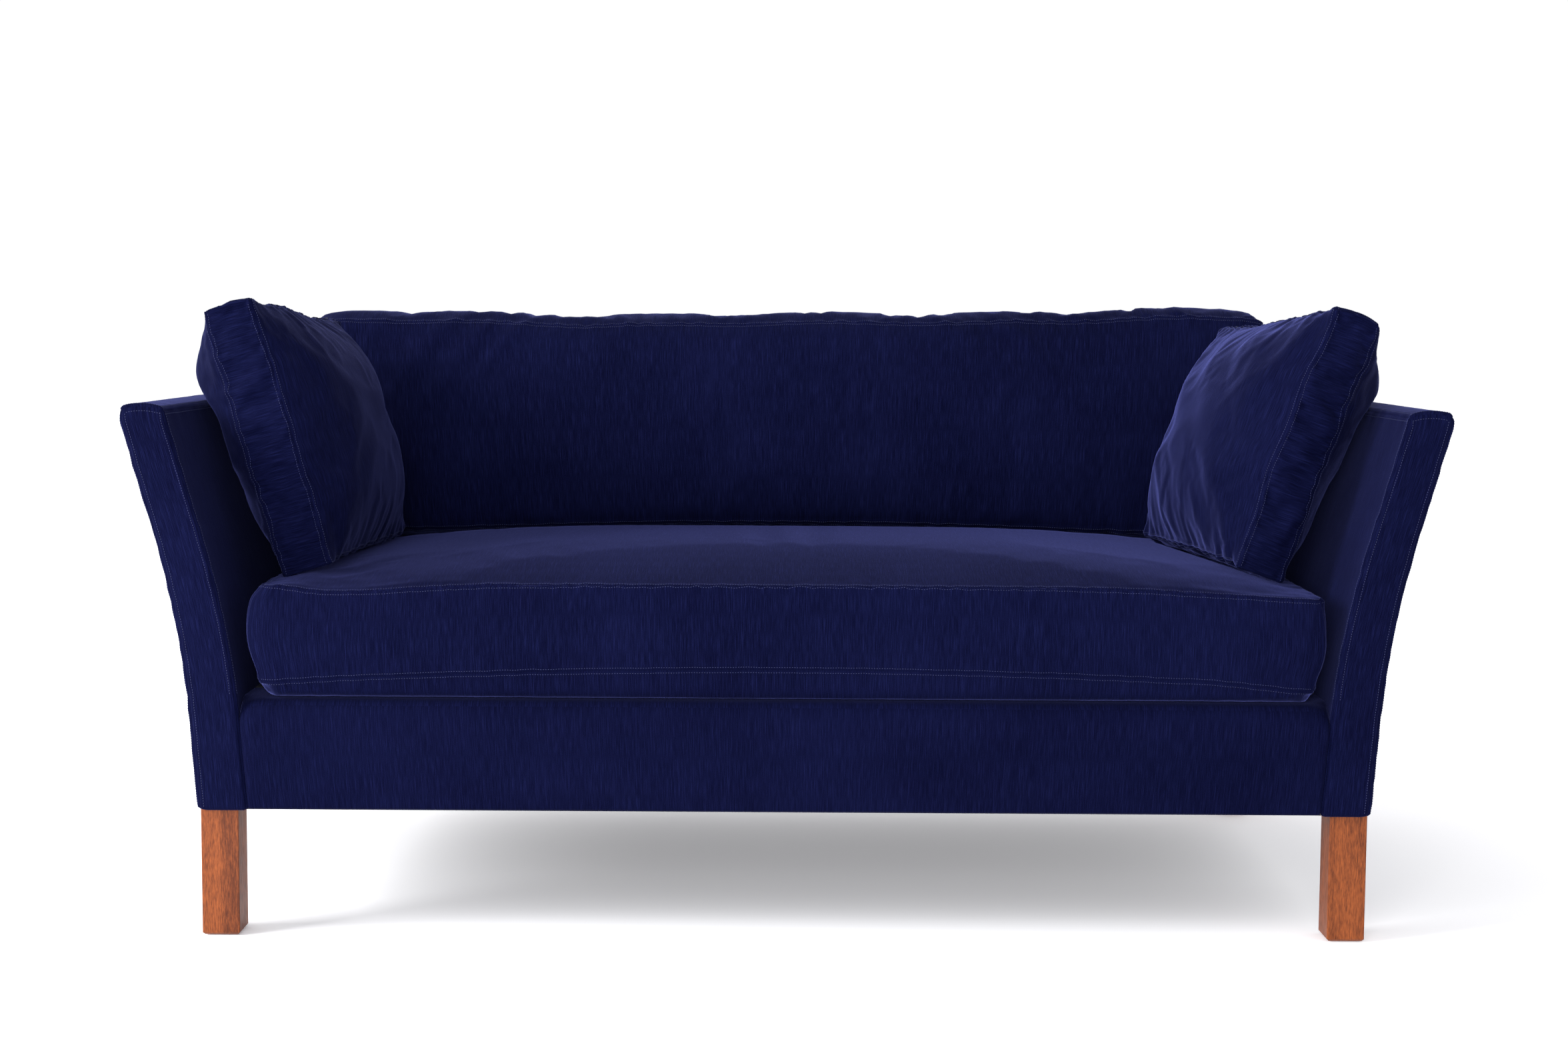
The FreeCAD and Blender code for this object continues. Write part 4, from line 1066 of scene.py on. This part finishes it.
def border_shape(p):
    a, b, c = p.T
    box = np.stack([a, BORDER_FRONT + (b + 1) / 2 * (BORDER_REAR - FRONT_Y),
                    HEM + (c + 1) / 2 * (BORDER_TOP - HEM)], axis=1)
    box = soften(box, (-50, BORDER_FRONT, HEM), (50, BORDER_REAR + 1, BORDER_TOP),
                 ((0, 0), (0.024, 0.0), (0.006, 0.024)))
    _, y, z = box.T
    shoulder = np.clip((np.abs(a) * 0.715 - 0.680) / 0.035, 0, 1)
    z = z - 0.016 * quarter(shoulder) * smooth(c, -0.5, 1.0) * smooth(-y, 0.395, 0.435)
    x = a * (arm_inner(z) - 0.0004)
    ends = 1 - np.abs(a) ** 60
    bulge = 0.003 * (1 - c ** 2) + 0.0007 * waves(np.stack([x, y, z], axis=1), 0.35, 12)
    y = y - np.where(b < -0.999, bulge * ends, 0) + 0.0025 * np.exp(-((1 - np.abs(a)) / 0.0035) ** 2) * (b < 0)
    return np.stack([x, y, z], axis=1)


block = Block([seam_lines(1.43, 0.012), seam_lines(0.11, 0.008), seam_lines(0.149, 0.008)])
points = border_shape(block.parameters)
# The border's front gets the darker velvet copy, a painted shade.
upholster("front_border", block, points, LENGTHWAYS, "frame",
          ("front_border_cover", "front_border_padding"), cloths={"front": painted_shade_velvet})

# %% Make the inside back and the outside back
BACK_TOP = 0.747


def back_half_width(z):
    """Half the width of the back between and above the arms."""
    return arm_inner(np.minimum(z, 0.706)) - 0.0005


def inside_back_shape(p):
    a, b, c = p.T
    low_z = 0.319
    z = low_z + (c + 1) / 2 * (BACK_TOP - low_z)
    box = soften(np.stack([a, (b + 1) / 2, z], axis=1), (-1, -50, low_z), (1, 50, BACK_TOP),
                 ((0.045, 0.045), (0, 0), (0.0, 0.034)))
    a2, b2, z = box.T
    front, rear = inside_back(z), outside_back(z) - SHEET
    deep = rear - front
    edge = np.clip(1 - (BACK_TOP - z) / 0.016, 0, 1)
    y = front + b2 * deep
    rounding = 0.014 * quarter(edge)
    y = np.where(b < -0.999, y + rounding, y)
    x = a2 * back_half_width(z)
    crown = 0.006 * (1 - (2 * b2 - 1) ** 2)
    z = z + np.where(c > 0.999, crown - 0.005, -0.005 * smooth(z, 0.70, BACK_TOP))
    points = np.stack([x, y, z], axis=1)
    points[:, 1] -= np.where(b < -0.999, 0.001 * waves(points, 0.3, 15), 0)
    return points


BACK_SEAMS = [("rear", "top"), ("front", "top")]
block = Block([seam_lines(1.6, 0.014), seam_lines(0.09, 0.008), seam_lines(0.43, 0.010)])
points = inside_back_shape(block.parameters)
points = add_seams(block, points, BACK_SEAMS, ARM_ROW, ARM_BAND, 0.0004, 0.02, seed=31)
upholster("inside_back", block, points, LENGTHWAYS, "frame", ("inside_back_cover", "back_padding"))
sew("inside_back_stitches", block, points, BACK_SEAMS, ARM_ROW, "frame")


def outside_back_shape(p):
    a, b, c = p.T
    top = BACK_TOP - 0.001
    z = HEM + (c + 1) / 2 * (top - HEM)
    step = smooth(z, 0.696, 0.716)
    wide = arm_outer(z) * (1 - step) + (back_half_width(z) - 0.002) * step
    shoulder = np.clip((z - (top - 0.034)) / 0.034, 0, 1)
    wide = wide - 0.036 * quarter(shoulder)
    x = a * (wide - 0.001)
    rear = outside_back(z)
    y = rear - 0.0042 + (b + 1) / 2 * 0.0038
    rim = np.minimum(np.minimum((1 - np.abs(a)) * 0.87, (top - z)), (z - HEM)) / 0.006
    y = y - np.where(b > 0.999, 0.003 * (1 - np.sqrt(1 - np.clip(1 - rim, 0, 1) ** 2)), 0)
    points = np.stack([x, y, z], axis=1)
    points[:, 1] -= np.where(b > 0.999, 0.0012 * (1 + waves(points, 0.4, 17)) * (1 - a ** 20), 0)
    return points


block = Block([seam_lines(1.74, 0.014), seam_lines(0.004, 0.001), seam_lines(0.576, 0.008)])
points = outside_back_shape(block.parameters)
upholster("outside_back", block, points, LENGTHWAYS, "frame", ("outside_back_cover",))
